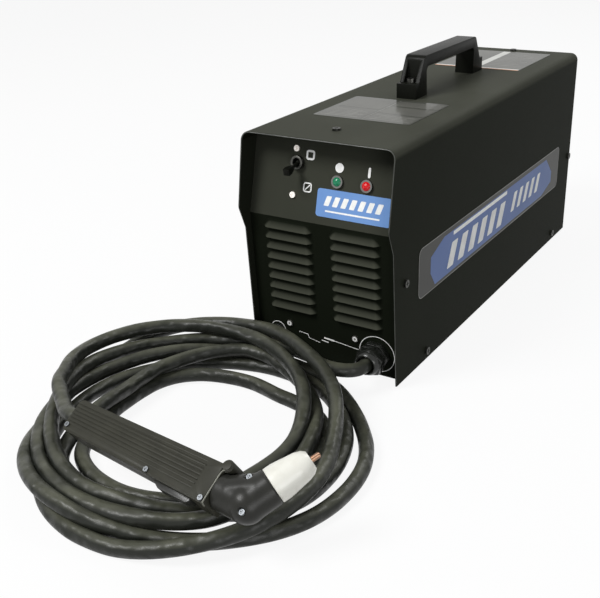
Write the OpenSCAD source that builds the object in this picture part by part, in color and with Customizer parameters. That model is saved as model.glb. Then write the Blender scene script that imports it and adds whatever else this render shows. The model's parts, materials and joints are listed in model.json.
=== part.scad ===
// Portable plasma cutter with a built-in air compressor, its torch and coiled torch lead.
// +X is the right-hand side seen from the front, +Y points to the back, +Z is up.
// The origin is on the floor, under the middle of the case.

/* [Case] */
// Width over the cover's side walls
case_w = 165; // [160:1:180]
// Height of the cover's top above the floor
case_h = 240; // [236:1:250]
// Length of the cover's side walls
case_l = 510; // [505:1:525]
// Radius of the cover's two long top edges
edge_r = 9; // [6:1:16]
// Thickness of the cover's sheet
cover_t = 1.5; // [1:0.1:2]
// Gap between the floor and the cover's lower edge
cover_gap = 3; // [2:0.5:5]
// Clearance between sheets that lie beside each other
sheet_gap = 0.3; // [0.2:0.05:0.5]
// Clearance between a part and what it is bolted to
seat = 0.1; // [0.05:0.05:0.2]

/* [Visor] */
// How far the visor's nose stands in front of the side walls
nose_out = 14.5; // [12:0.5:18]
// How far the nose lies below the top
nose_down = 73.5; // [69:0.5:77]
// Radius of the nose
nose_r = 9; // [4:1:12]
// How far the front edge stands forward at the knee below the nose
knee_out = 5; // [3:0.5:7]
// How far that knee lies below the top
knee_down = 97; // [94:1:102]
// How far the foot of the front edge stands back
foot_back = 3; // [1:0.5:5]
// How far the top of the front edge stands forward
brow_out = 2.5; // [0:0.5:4]

/* [Sheet parts] */
// Thickness of the front, rear and base sheets
sheet_t = 1.2; // [1:0.1:1.5]
// Height of the base pan's underside above the floor
pan_z = 6; // [5:0.5:8]
// Height of the base pan's side walls
pan_wall = 22; // [20:1:26]
// How far the front panel's foot lies behind the front corner
panel_foot_in = 11.5; // [10:0.5:13]
// How far the front panel's bend lies behind the front corner
panel_bend_in = 2.4; // [1:0.1:4]
// How far the front panel's bend lies below the top
panel_bend_down = 83; // [81:1:85]
// How far the front panel's top lies behind the front corner
panel_top_in = 22.5; // [20:0.5:25]
// Width of the front panel's side flanges
panel_flange = 26; // [24:1:30]
// How far the rear panel is set in from the back edge
rear_in = 15.5; // [15:0.5:18]
// Radius of the rubber feet
foot_r = 9; // [7:0.5:11]
// How far the feet stand in from the pan's edges
foot_inset = 24; // [20:1:30]

/* [Louvres] */
// No louvre's lip lies lower than this above the panel's foot
louvre_low = 50; // [45:1:52]
// Distance from one louvre to the next
louvre_pitch = 10.9; // [10.5:0.1:10.9]
// Length of a louvre's lip
louvre_w = 57.4; // [50:0.2:60]
// Distance of a column's middle from the panel's middle
louvre_x = 37; // [35:0.2:39]
// Height of a louvre's hood
louvre_h = 8.2; // [7:0.2:9]
// How far a louvre's lip stands out
louvre_out = 5; // [4:0.5:6]
// How far the top louvre's lip lies below the panel's bend
louvre_drop = 10.8; // [10.4:0.1:13]

/* [Controls] */
// Height of the toggle switch above the panel's bend
switch_s = 55; // [53:0.5:57]
// Place of the toggle switch across the panel
switch_x = -30; // [-34:0.5:-28]
// Outer radius of the switch's collar
collar_r = 6.6; // [6.4:0.1:7]
// Length of the switch's lever
lever_len = 22; // [18:0.5:25]
// Angle between the lever's two places
lever_throw = 50; // [30:1:50]
// Distance between the switch's two screws
switch_screws_gap = 44.4; // [43:0.2:46]
// Radius of a lamp's bezel
bezel_r = 6; // [5.5:0.1:7]
// Radius of a lamp's lens
lens_r = 4.3; // [4:0.1:4.6]
// Height of the lamps above the panel's bend
lamp_s = 42.3; // [41:0.1:44]
// Place of the green lamp across the panel
lamp_x = 14.5; // [13:0.5:16]
// Distance between the lamps
lamp_gap = 31; // [30:0.5:33]
// Width of the front label
label_w = 79; // [70:1:82]
// Height of the front label
label_h = 26.5; // [24:0.5:27]
// Thickness of the labels
film_t = 0.3; // [0.2:0.05:0.5]

/* [Lead and glands] */
// Diameter of the torch lead
lead_d = 14; // [12:0.5:14]
// Place of the torch lead's gland across the panel
gland_x = 57; // [56:0.5:59]
// Height of both glands above the panel's foot
gland_s = 23.5; // [23:0.5:25]
// Thread radius of the torch lead's gland
gland_r = 11; // [10.5:0.1:11.5]
// Width across the flats of the torch lead's gland
gland_af = 27; // [26:0.5:29]
// Length of the torch lead's gland in front of the panel
gland_len = 24; // [22:0.5:26]
// Thread radius of the work lead's gland
work_r = 5.5; // [5:0.1:6]
// Radius of the work lead's hole
work_bore = 3.5; // [3:0.1:4]
// Thread radius of the mains cord's gland
mains_r = 9; // [8:0.1:10]
// Radius of the mains cord's hole
mains_bore = 5; // [4:0.1:6]

/* [Carry handle] */
// Width of the handle
grip_w = 22.5; // [20:0.5:28]
// Height of the handle above the cover
grip_h = 42; // [40:1:48]
// Thickness of the hand bar
grip_t = 12; // [10:0.5:14]
// Length of the handle at its feet
grip_l = 181; // [175:1:200]
// Place of the handle's middle along the case
grip_y = 17.5; // [14:0.5:32]
// Length of the handle's feet
grip_foot = 28; // [25:1:30]
// Height of the handle's foot blocks
grip_block = 15.5; // [14:0.5:22]

/* [Fan] */
// Width of the square fan
fan_w = 119; // [110:1:119]
// Depth of the fan
fan_d = 38; // [32:1:38]
// Width of the fan frame's rim round its air way
fan_rim = 3.5; // [3:0.5:6]
// Height of the fan's middle
fan_z = 150; // [140:1:155]
// Number of fan blades
blade_n = 7; // [5:1:9]

/* [Compressor] */
// Radius of the compressor's motor
motor_r = 34; // [30:1:36]
// Length of the compressor's motor
motor_l = 92; // [80:1:96]
// Distance of the compressor's middle to the left of the case's middle
pump_x = 36; // [34:1:38]
// Width of the compressor's crankcase
crank_w = 58; // [52:1:62]
// Radius of the compressor's cylinder
cylinder_r = 21; // [18:1:23]
// Height of the compressor's cylinder
cylinder_h = 36; // [30:1:40]

/* [Torch] */
// Length of the torch's handle
torch_l = 164; // [158:1:170]
// Depth of the handle at its rear
torch_rear_h = 29; // [28:0.5:31]
// Depth of the handle at its front
torch_front_h = 33; // [32:0.5:35]
// Thickness of the handle
torch_t = 28; // [26:0.5:29]
// Radius of the torch's head
head_r = 14.6; // [14.2:0.1:15.2]
// How far the head's bend lies beyond the handle
head_out = 24.3; // [23:0.1:26]
// Angle between the handle and the head
head_angle = 64; // [58:1:68]
// Angle that the trigger moves
trigger_throw = 6; // [3:0.5:6]
// Length of the shield cup
cup_l = 33; // [31:0.5:36]
// Radius of the shield cup's mouth
cup_mouth_r = 7.5; // [7:0.1:8.5]
// Radius of the copper tip
tip_r = 2.3; // [2.1:0.1:2.8]
// How far the tip stands out of the cup
tip_out = 8; // [6:0.5:9]

/* [Hidden] */
$fn = 48;

powder = [0.15, 0.155, 0.135];
black = [0.07, 0.07, 0.065];
rubber_c = [0.1, 0.1, 0.09];
steel_c = [0.62, 0.62, 0.6];
alu_c = [0.75, 0.76, 0.77];
blue_c = [0.36, 0.5, 0.74];

// Case outline, from its driving sizes
front_y = -case_l / 2;
rear_y = case_l / 2;
inner_w = case_w - 2 * cover_t;
inner_top = case_h - cover_t;
panel_w = inner_w - 2 * sheet_gap;
pan_top = pan_z + sheet_t;
eps = 0.01;
reach = 400;
fan_r = fan_w / 2 - fan_rim;
nose_z = case_h - nose_down;
knee_z = case_h - knee_down;
panel_bend_z = case_h - panel_bend_down;

// Front panel: a lower and an upper face that meet at the bend
foot_y = front_y + panel_foot_in;
bend_y = front_y + panel_bend_in;
top_y = front_y + panel_top_in;
panel_top = inner_top - sheet_gap;
low_lean = atan((foot_y - bend_y) / (panel_bend_z - pan_z));
low_len = (panel_bend_z - pan_z) / cos(low_lean);
louvre_top = low_len - louvre_drop;
louvre_n = 1 + floor((louvre_top - louvre_low) / louvre_pitch);
high_lean = atan((top_y - bend_y) / (panel_top - panel_bend_z));
back_y = rear_y - rear_in;

// Fits
shaft_gap = 0.05;
hole_gap = 0.15;
run_gap = 0.3;
screw_r = 2;
head_h = 2.2;
head_w = 4;

// Where the cover's screws sit: height or side distance, and place along the case
side_screw_z = 106.5;
low_screw_z = pan_z + 6.3;
rear_screw_y = rear_y - 6;
side_screw_places = [[front_y + 19, side_screw_z], [rear_screw_y, side_screw_z],
    [front_y + 70, low_screw_z], [rear_y - 52, low_screw_z]];
top_screw_ys = [front_y + 36, rear_y - 11.5];

// Torch: its rear end lies at this place, turned and rolled like this
torch_at = [-85.5, -511.7, 62];
torch_turn = -7.2;
torch_roll = 34;

// Torch lead: from its gland to the coil, and from the coil to the torch
lead_path = [[57, -263.2, 28.3], [57, -270, 28.2], [55.4, -279, 28.8], [51, -287, 29.9],
    [44.2, -293, 31.2], [36, -296.4, 32.3], [27, -296.8, 33], [18.5, -294, 33.3],
    [11, -289.5, 33.4], [3, -285, 33], [-6, -281, 31.5]];
tail_path = [[-170, -322, 37.3], [-182, -342, 37.7], [-189, -363, 38.2], [-191, -385, 39],
    [-186.5, -407, 40.5], [-177.5, -428, 42], [-168, -445, 43.7], [-155, -461, 45],
    [-143, -471, 45.6], [-119, -489, 46.6], [-104, -498.3, 48.6], [-84.5, -503.9, 50.4]];
coil_at = [-32, -428];
coil_out = [166, 163, 162, 165, 187, 188, 167, 148, 149, 157, 164, 163];
coil_in = [79, 90, 100, 98, 107, 94, 84, 84, 83, 84, 84, 78];
coil_h = 29;
coil_pile = 20;
coil_pile_at = 110;
coil_steps = 48;
lead_sides = 10;

// A smooth curve through the given points, with n steps between two of them
function between(a, b, c, d, t) = 0.5 * (2 * b + (c - a) * t
    + (2 * a - 5 * b + 4 * c - d) * t * t + (3 * b - a - 3 * c + d) * t * t * t);
function smooth(p, n) = [for (i = [0:len(p) - 2]) for (k = [0:n - 1])
    between(p[max(i - 1, 0)], p[i], p[i + 1], p[min(i + 2, len(p) - 1)], k / n), p[len(p) - 1]];
function unit(v) = v / norm(v);
function heading(p, i) = unit(p[min(i + 1, len(p) - 1)] - p[max(i - 1, 0)]);
function ring(p, i, r, n) = let(t = heading(p, i), a = unit(cross(t, [0, 0, 1])), b = cross(a, t))
    [for (k = [0:n - 1]) p[i] + r * (a * cos(360 * k / n) + b * sin(360 * k / n))];

// One closed tube along a path
module tube(path, r, n) {
    last = len(path) - 1;
    polyhedron(
        points = [for (i = [0:last]) each ring(path, i, r, n)],
        faces = concat(
            [[for (k = [n - 1:-1:0]) k]],
            [for (i = [0:last - 1]) for (k = [0:n - 1])
                [i * n + k, i * n + (k + 1) % n, (i + 1) * n + (k + 1) % n, (i + 1) * n + k]],
            [[for (k = [0:n - 1]) last * n + k]]));
}

// A corner rounded by radius r, as n + 1 points; a and c are its neighbours
function rounded(a, b, c, r, n) =
    let(u = unit(a - b), v = unit(c - b), half = acos(u * v) / 2, d = r / tan(half),
        m = b + unit(u + v) * r / sin(half), p = b + u * d, q = b + v * d)
    [for (k = [0:n]) let(w = unit((p - m) * (1 - k / n) + (q - m) * (k / n))) m + w * r];

module extrude_x(w) rotate([90, 0, 90]) linear_extrude(w, center = true) children();
module extrude_y(l) rotate([90, 0, 0]) linear_extrude(l, center = true) children();
module on_low(x, s) translate([x, foot_y, pan_z]) rotate([low_lean, 0, 0]) translate([0, 0, s]) children();
module on_high(x, s) translate([x, bend_y, panel_bend_z]) rotate([-high_lean, 0, 0])
    translate([0, 0, s]) children();
module outwards() rotate([90, 0, 0]) children();
module inwards() rotate([-90, 0, 0]) children();
module rounded_plate(w, l, r, t) {
    linear_extrude(t) {
        square([w - 2 * r, l], center = true);
        square([w, l - 2 * r], center = true);
        for (sx = [-1, 1]) for (sy = [-1, 1])
            translate([sx * (w / 2 - r), sy * (l / 2 - r)]) circle(r);
    }
}
module pan_screw(shank) {
    difference() {
        cylinder(r = head_w, h = head_h);
        for (a = [0, 90]) rotate([0, 0, a]) translate([-2.4, -0.5, head_h - 1]) cube([4.8, 1, 2]);
    }
    translate([0, 0, -shank]) cylinder(r = screw_r, h = shank + eps, $fn = 24);
}
module cross_head(r, h) {
    difference() {
        cylinder(r = r, h = h);
        for (a = [0, 90]) rotate([0, 0, a])
            translate([-r * 0.6, -r * 0.12, h * 0.5]) cube([r * 1.2, r * 0.24, h]);
    }
}

// Sheet case ---------------------------------------------------------------
nose = [front_y - nose_out, nose_z];
side_outline = concat(
    [[rear_y, cover_gap], [rear_y, case_h + 1], [front_y - brow_out, case_h + 1]],
    [[front_y - brow_out, case_h]],
    rounded([front_y - brow_out, case_h], nose, [front_y - knee_out, knee_z], nose_r, 8),
    [[front_y - knee_out, knee_z], [front_y + foot_back, cover_gap]]);

module shell_outline(w, h, r) {
    translate([-w / 2, 0]) square([w, h - r]);
    translate([-w / 2 + r, 0]) square([w - 2 * r, h]);
    for (side = [-1, 1]) translate([side * (w / 2 - r), h - r]) circle(r);
}
module inside_of_cover() extrude_y(2 * reach) shell_outline(panel_w, panel_top, edge_r - cover_t);
module side_screws(r, len) {
    for (side = [-1, 1]) {
        for (p = side_screw_places)
            translate([side * case_w / 2, p[0], p[1]]) rotate([0, side * 90, 0])
                translate([0, 0, -len]) cylinder(r = r, h = 2 * len, $fn = 24);
    }
}
module top_screws(r, len) {
    for (y = top_screw_ys)
        translate([0, y, case_h - len]) cylinder(r = r, h = 2 * len, $fn = 24);
}
module cover() {
    color(powder) difference() {
        intersection() {
            extrude_y(2 * reach) difference() {
                shell_outline(case_w, case_h, edge_r);
                translate([0, -1]) shell_outline(inner_w, inner_top + 1, max(edge_r - cover_t, 1));
            }
            extrude_x(2 * reach) polygon(side_outline);
        }
        side_screws(screw_r + hole_gap, 2 * cover_t);
        top_screws(screw_r + hole_gap, 2 * cover_t);
        for (y = bolt_ys) translate([0, y, case_h - 3 * cover_t])
            cylinder(r = bolt_r + hole_gap, h = 5 * cover_t, $fn = 32);
    }
}
module cover_screws() {
    screw_len = 6;
    color(black) {
        for (side = [-1, 1]) {
            for (p = side_screw_places)
                translate([side * case_w / 2, p[0], p[1]]) rotate([0, side * 90, 0]) pan_screw(screw_len);
        }
        for (y = top_screw_ys) translate([0, y, case_h]) pan_screw(screw_len);
    }
}

// The front flange of the pan stands behind the front panel, between the glands
pan_flange_x = [-47, 40];
pan_flange_h = 46;
pan_side_front = front_y + 55;
pan_back = back_y - seat;
module base_pan() {
    front_edge = foot_y + sheet_t + 2 * seat;
    wall_x = panel_w / 2 - sheet_t;
    color(powder) difference() {
        union() {
            translate([-panel_w / 2, front_edge, pan_z])
                cube([panel_w, pan_back - front_edge, sheet_t]);
            for (x = [-panel_w / 2, wall_x]) translate([x, pan_side_front, pan_z])
                cube([sheet_t, pan_back - pan_side_front, pan_wall]);
            on_low(0, 0.5) translate([pan_flange_x[0], sheet_t + seat, 0])
                cube([pan_flange_x[1] - pan_flange_x[0], sheet_t, pan_flange_h]);
        }
        side_screws(screw_r + shaft_gap, 8);
        rivet_holes(rivet_r + shaft_gap);
        for (p = foot_places) translate([p[0], p[1], pan_z - 1])
            cylinder(r = foot_pin_r + shaft_gap, h = 4, $fn = 24);
    }
}
foot_pin_r = 2.5;
foot_places = [for (sx = [-1, 1]) for (y = [front_y + foot_inset + 12, rear_y - foot_inset - rear_in])
    [sx * (panel_w / 2 - foot_inset / 2 - foot_r / 2), y]];
module rubber_feet() {
    color(rubber_c) for (p = foot_places) translate([p[0], p[1], 0]) {
        cylinder(r = foot_r, h = pan_z);
        cylinder(r = foot_pin_r, h = pan_top + 1, $fn = 24);
        translate([0, 0, pan_top + seat]) cylinder(r = foot_pin_r + 1.2, h = 1.2, $fn = 24);
    }
}

// Louvre hood: its section, run along X, with ends that slope in to the top
louvre_end = 5.5;
module hood(grow) {
    w = louvre_w / 2 - grow;
    top = louvre_h - grow;
    slope = louvre_end;
    back = grow > 0 ? 2 * sheet_t : sheet_t / 2;
    lip = grow > 0 ? -eps : 0;
    intersection() {
        extrude_x(louvre_w + 2) polygon([[back, lip], [-louvre_out + grow, lip], [-louvre_out + grow, 1],
            [0, top], [back, top]]);
        translate([0, 2 * sheet_t, 0]) rotate([90, 0, 0]) linear_extrude(2 * sheet_t + louvre_out + 1)
            polygon([[-w, -1], [w, -1], [w, 0], [w - slope, top + 1], [-w + slope, top + 1], [-w, 0]]);
    }
}
module louvres(grow) {
    for (side = [-1, 1]) for (i = [0:louvre_n - 1])
        on_low(side * louvre_x, louvre_top - i * louvre_pitch) hood(grow);
}
rivet_r = 2;
rivet_xs = [-43, 33.5];
rivet_s = 35;
module rivet_holes(r) {
    for (x = rivet_xs) on_low(x, rivet_s) inwards()
        translate([0, 0, -2]) cylinder(r = r, h = 8, $fn = 24);
}
lamp_hole_r = lens_r + 0.5;
collar_in_r = collar_r - 1.5;
top_flange = 38;
module front_panel() {
    flange_end = foot_y + panel_flange;
    inside_y = top_y + sheet_t * (1 - tan(high_lean));
    color(powder) difference() {
        intersection() {
            union() {
                extrude_x(panel_w) polygon([[foot_y, pan_z], [bend_y, panel_bend_z], [top_y, panel_top],
                    [top_y + top_flange, panel_top], [top_y + top_flange, panel_top - sheet_t],
                    [inside_y, panel_top - sheet_t], [bend_y + sheet_t, panel_bend_z],
                    [foot_y + sheet_t, pan_z]]);
                for (side = [-1, 1]) translate([side * (panel_w - sheet_t) / 2, 0, 0]) extrude_x(sheet_t)
                    polygon([[foot_y, pan_z + 3], [bend_y, panel_bend_z], [top_y, panel_top],
                        [flange_end, panel_top], [flange_end, pan_z + 3]]);
                louvres(0);
            }
            inside_of_cover();
        }
        louvres(louvre_wall);
        side_screws(screw_r + shaft_gap, 8);
        top_screws(screw_r + shaft_gap, 8);
        rivet_holes(rivet_r + shaft_gap);
        on_low(gland_x, gland_s) inwards() translate([0, 0, -2]) cylinder(r = gland_r + seat, h = 8);
        on_low(-gland_x, gland_s) inwards() translate([0, 0, -2]) cylinder(r = work_r + seat, h = 8);
        on_high(switch_x, switch_s) inwards() translate([0, 0, -2]) cylinder(r = collar_in_r + seat, h = 8);
        for (x = [lamp_x, lamp_x + lamp_gap]) on_high(x, lamp_s) inwards()
            translate([0, 0, -2]) cylinder(r = lamp_hole_r, h = 8);
        switch_screw_holes(screw_r - 0.5 + shaft_gap);
    }
}
louvre_wall = 1;

module rear_panel() {
    depth = rear_in - 1.5;
    bottom = pan_top + 2;
    color(powder) difference() {
        intersection() {
            union() {
                translate([-panel_w / 2, back_y, pan_z]) cube([panel_w, sheet_t, panel_top - pan_z]);
                for (side = [-1, 1]) translate([side * (panel_w - sheet_t) / 2 - sheet_t / 2, back_y, bottom])
                    cube([sheet_t, depth, panel_top - bottom]);
                translate([-panel_w / 2, back_y, panel_top - sheet_t]) cube([panel_w, depth, sheet_t]);
            }
            inside_of_cover();
        }
        translate([0, back_y - 1, fan_z]) inwards() cylinder(r = fan_r, h = 8);
        fan_bolts(fan_bolt_r + seat);
        translate([-mains_x, back_y - 1, mains_z]) inwards() cylinder(r = mains_r + seat, h = 8);
        side_screws(screw_r + shaft_gap, 8);
        top_screws(screw_r + shaft_gap, 8);
    }
}

// Carry handle: its side outline, open in the middle, with a channel in each end
bolt_r = 2.5;
handle_z = case_h + seat;
handle_half = grip_l / 2;
bolt_in = 12;
bolt_ys = [grip_y - handle_half + bolt_in, grip_y + handle_half - bolt_in];
module carry_handle() {
    step_in = 8;
    shoulder = 22;
    under = grip_h - grip_t;
    channel_w = grip_w - 9;
    outline = concat([[-handle_half, 0], [-handle_half, grip_block]],
        [[-handle_half + step_in, grip_block]],
        rounded([-handle_half + step_in, grip_block], [-handle_half + shoulder, grip_h], [0, grip_h], 6, 5),
        rounded([0, grip_h], [handle_half - shoulder, grip_h], [handle_half - step_in, grip_block], 6, 5),
        [[handle_half - step_in, grip_block], [handle_half, grip_block], [handle_half, 0]]);
    inner = handle_half - grip_foot;
    color(black) translate([0, grip_y, handle_z]) difference() {
        extrude_x(grip_w) polygon(outline);
        extrude_x(2 * grip_w) polygon(concat([[-inner, -1]],
            rounded([-inner, -1], [-inner - 2, under], [0, under], 5, 5),
            rounded([0, under], [inner + 2, under], [inner, -1], 5, 5), [[inner, -1]]));
        for (side = [-1, 1]) {
            translate([0, side * (handle_half - channel_l / 2), grip_block + grip_h / 2])
                cube([channel_w, channel_l, grip_h], center = true);
            translate([0, side * (handle_half - bolt_in), -1])
                cylinder(r = bolt_r + hole_gap, h = grip_h, $fn = 32);
        }
    }
}
channel_l = 2 * 9.5;
module handle_bolts() {
    bolt_len = grip_block + cover_t + 8;
    color(black) for (y = bolt_ys) translate([0, y, handle_z + grip_block + seat]) {
        difference() {
            cylinder(r = 4.6, h = 4);
            translate([0, 0, 2]) cylinder(r = 2.6, h = 3, $fn = 6);
        }
        translate([0, 0, -bolt_len]) cylinder(r = bolt_r, h = bolt_len + eps, $fn = 32);
        translate([0, 0, -grip_block - cover_t - 4 * seat - 4]) cylinder(r = 5, h = 4, $fn = 6);
    }
}

// Controls -----------------------------------------------------------------
switch_mid = switch_s - 9;
module switch_screw_holes(r) {
    for (end = [-1, 1]) on_high(switch_x - 3, switch_mid + end * switch_screws_gap / 2) inwards()
        translate([0, 0, -2]) cylinder(r = r, h = 8, $fn = 24);
}
module switch_body() {
    ear = switch_screws_gap + 10;
    body_l = 33;
    body_d = 26;
    color([0.16, 0.16, 0.17]) difference() {
        union() {
            on_high(switch_x - 3, switch_mid) translate([-8, sheet_t + seat, -ear / 2]) cube([16, 1.6, ear]);
            on_high(switch_x - 3, switch_mid) translate([-13, sheet_t + seat + 1.6 - eps, -body_l / 2])
                cube([26, body_d, body_l]);
            for (x = [-8, 0, 8]) on_high(switch_x - 3 + x, switch_mid)
                translate([-2, sheet_t + body_d, -6]) cube([4, 8, 12]);
        }
        switch_screw_holes(screw_r - 0.5 + shaft_gap);
        on_high(switch_x, switch_s) inwards() translate([0, 0, -2])
            cylinder(r = collar_in_r + 0.6, h = 12);
    }
}
module switch_collar() {
    color(black) on_high(switch_x, switch_s) difference() {
        union() {
            outwards() translate([0, 0, seat]) cylinder(r = collar_r, h = 5);
            inwards() translate([0, 0, -1]) cylinder(r = collar_in_r, h = sheet_t + 5);
        }
        inwards() translate([0, 0, -8]) cylinder(r = collar_in_r - 0.9, h = 20);
    }
}
lever_pivot_out = 1;
module switch_lever() {
    root_r = 1.7;
    tip = [6.4, 6.4, 5];
    color(black) on_high(switch_x, switch_s) translate([0, -lever_pivot_out, 0])
        rotate([lever_throw / 2, 0, 0]) {
            sphere(r = 2.6, $fn = 24);
            outwards() cylinder(r = root_r, h = lever_len - tip[2]);
            outwards() translate([0, 0, lever_len * 0.45]) hull() {
                translate([-1.7, -1.7, 0]) cube([3.4, 3.4, 1]);
                translate([-tip[0] / 2, -tip[1] / 2, lever_len * 0.55 - tip[2]]) cube(tip);
            }
            inwards() cylinder(r = 1.4, h = 4);
        }
}
module switch_screws() {
    r = screw_r - 0.5;
    color([0.8, 0.78, 0.7]) for (end = [-1, 1])
        on_high(switch_x - 3, switch_mid + end * switch_screws_gap / 2) outwards() {
            translate([0, 0, seat]) cross_head(3, 1.7);
            translate([0, 0, -6]) cylinder(r = r, h = 6 + 2 * seat, $fn = 24);
        }
}
module lamp_bezels() {
    color(alu_c) for (x = [lamp_x, lamp_x + lamp_gap]) on_high(x, lamp_s) difference() {
        union() {
            outwards() translate([0, 0, seat]) cylinder(r = bezel_r, h = 2.4);
            inwards() translate([0, 0, -1]) cylinder(r = lamp_hole_r - 0.1, h = 19);
        }
        inwards() translate([0, 0, -8]) cylinder(r = lens_r, h = 24);
    }
}
module lens(x) {
    r = lens_r - shaft_gap;
    on_high(x, lamp_s) outwards() {
        translate([0, 0, -14]) cylinder(r = r, h = 16.6);
        translate([0, 0, 2.6 - eps]) intersection() {
            translate([0, 0, -r * 0.75]) sphere(r = r * 1.25);
            cylinder(r = r, h = r);
        }
    }
}
module green_lens() color([0.05, 0.5, 0.3]) lens(lamp_x);
module red_lens() color([0.75, 0.06, 0.1]) lens(lamp_x + lamp_gap);
label_x = 33.5;
label_s = 21;
module front_label() {
    color(blue_c) on_high(label_x, label_s) outwards() rounded_plate(label_w, label_h, 3, film_t);
}

// Labels on the cover: bare films with a generic band
side_label_l = case_l - 94;
side_label_h = 53.5;
side_label_y = 0;
side_label_z = 103.5;
module side_labels() {
    color([0.25, 0.33, 0.5]) for (side = [-1, 1])
        translate([side * case_w / 2, side_label_y, side_label_z]) rotate([90, 0, side * 90])
            rounded_plate(side_label_l, side_label_h, 8, film_t);
}
top_film_w = case_w - 57;
module top_film(from_y, to_y) translate([0, (from_y + to_y) / 2, case_h])
    rounded_plate(top_film_w, to_y - from_y, 3, film_t);
module top_label_front() color([0.5, 0.5, 0.48]) top_film(front_y + 81, grip_y - handle_half - 9);
module top_label_rear() color([0.45, 0.45, 0.44]) top_film(grip_y + handle_half + 7, rear_y - 22);

// Glands and lead ----------------------------------------------------------
lead_r = lead_d / 2;
mouth_r = lead_r + 2;
mouth_deep = 6;
thread_in = 12;
module gland(r, af, len, bore, deep) {
    hex_r = af / sqrt(3);
    body = len * 0.3;
    neck = len * 0.42;
    translate([0, 0, seat]) difference() {
        union() {
            translate([0, 0, -thread_in]) cylinder(r = r, h = thread_in + eps);
            cylinder(r = hex_r, h = body, $fn = 6);
            translate([0, 0, body]) cylinder(r = af / 2 - 1.2, h = 1.5);
            translate([0, 0, body + 1.5]) rotate([0, 0, 15]) cylinder(r = hex_r, h = neck, $fn = 6);
            translate([0, 0, body + 1.5 + neck]) rotate_extrude() intersection() {
                square([af / 2 - 0.6, len - body - neck - 1.5]);
                translate([0, -4]) circle(af / 2 + 0.4);
            }
        }
        translate([0, 0, len - deep]) cylinder(r = bore, h = deep + 1);
    }
}
module torch_gland() {
    color(black) on_low(gland_x, gland_s) outwards() gland(gland_r, gland_af, gland_len, mouth_r, mouth_deep);
}
module work_gland() {
    through = 40;
    color(black) on_low(-gland_x, gland_s) outwards() difference() {
        gland(work_r, 2 * work_r + 3, 11, work_bore, 5);
        translate([0, 0, -through / 2]) cylinder(r = work_bore, h = through);
    }
}
module gland_locknuts() {
    color(black) for (g = [[gland_x, gland_r, gland_r + 3], [-gland_x, work_r, work_r + 2.5]])
        on_low(g[0], gland_s) inwards() translate([0, 0, sheet_t + seat]) difference() {
            cylinder(r = g[2], h = 4, $fn = 8);
            translate([0, 0, -1]) cylinder(r = g[1] + shaft_gap, h = 6);
        }
}
module panel_rivets() {
    color([0.85, 0.85, 0.83]) for (x = rivet_xs) on_low(x, rivet_s) {
        outwards() translate([0, 0, seat]) cross_head(3.4, 1.3);
        inwards() translate([0, 0, -1]) cylinder(r = rivet_r, h = 2 * sheet_t + 2);
        inwards() translate([0, 0, 2 * sheet_t + 2 * seat]) cylinder(r = rivet_r + 1, h = 1.4);
    }
}
mains_x = 58;
mains_z = 34;
module mains_gland() {
    through = 60;
    color(black) translate([-mains_x, back_y + sheet_t, mains_z]) inwards() difference() {
        union() {
            gland(mains_r, 2 * mains_r + 4, 22, mains_bore, 5);
            translate([0, 0, -sheet_t - seat - 4]) cylinder(r = mains_r + 2.5, h = 4, $fn = 8);
        }
        translate([0, 0, -through / 2]) cylinder(r = mains_bore, h = through);
    }
}
module torch_lead() color(rubber_c) tube(smooth(lead_path, 2), lead_r, lead_sides);
module torch_lead_tail() color(rubber_c) tube(smooth(tail_path, 2), lead_r, lead_sides);

// The coil's outer shape: a flattened ring with its edges cut off
function round_about(list, a) = let(n = len(list), i = floor(a * n / 360), t = a * n / 360 - i)
    between(list[(i + n - 1) % n], list[i % n], list[(i + 1) % n], list[(i + 2) % n], t);
function coil_top(a) = coil_h + coil_pile * max(0, cos(a - coil_pile_at));
function coil_section(a) = let(u = [cos(a), sin(a)], o = u * round_about(coil_out, a),
        i = u * round_about(coil_in, a), c = 6, h = coil_top(a))
    [[o - u * c, 0], [o, c], [o, h - c], [o - u * c, h],
     [i + u * c, h], [i, h - c], [i, c], [i + u * c, 0]];
module torch_lead_coil() {
    n = coil_steps;
    m = 8;
    color(rubber_c) translate(coil_at) polyhedron(
        points = [for (k = [0:n - 1]) for (p = coil_section(360 * k / n)) [p[0][0], p[0][1], p[1]]],
        faces = [for (k = [0:n - 1]) for (j = [0:m - 1])
            [k * m + j, k * m + (j + 1) % m, ((k + 1) % n) * m + (j + 1) % m, ((k + 1) % n) * m + j]]);
}

// Torch --------------------------------------------------------------------
// In the torch's own frame X runs along the handle, Y to the head's side, Z out of the upper shell
module at_torch() translate(torch_at) rotate([0, 0, torch_turn]) rotate([torch_roll, 0, 0])
    translate([0, 0, -torch_t / 2]) children();
mid_gap = 0.1;
shell_r = 4;
trigger_x = torch_l - 56;
trigger_l = 38;
trigger_w = 11;
trigger_in = 6.2;
trigger_out = 4;
near_y = -torch_rear_h / 2 - (torch_front_h - torch_rear_h) / 2 * (trigger_x + trigger_l / 2) / torch_l;
pin_r = 1.5;
pin_at = [trigger_x + 3.6, near_y + 2.8];
neck_r = 10.5;
neck_in = 12;
slot_deep = trigger_in + 1.5;
head_x = torch_l + head_out;
torch_screw_r = 1.25;
screw_at = [[4.5, -torch_rear_h / 2 + 4.7], [trigger_x - 5.5, near_y + 2.9], [torch_l - 3.5, -torch_front_h / 2 + 3.1]];
head_screw_at = [[6.4, -8.5], [-4.2, 16.3]];
head_screw_z = 8.5;
lug_r = 5;
lug_gap = 0.9;
groove_w = 1.1;
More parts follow.
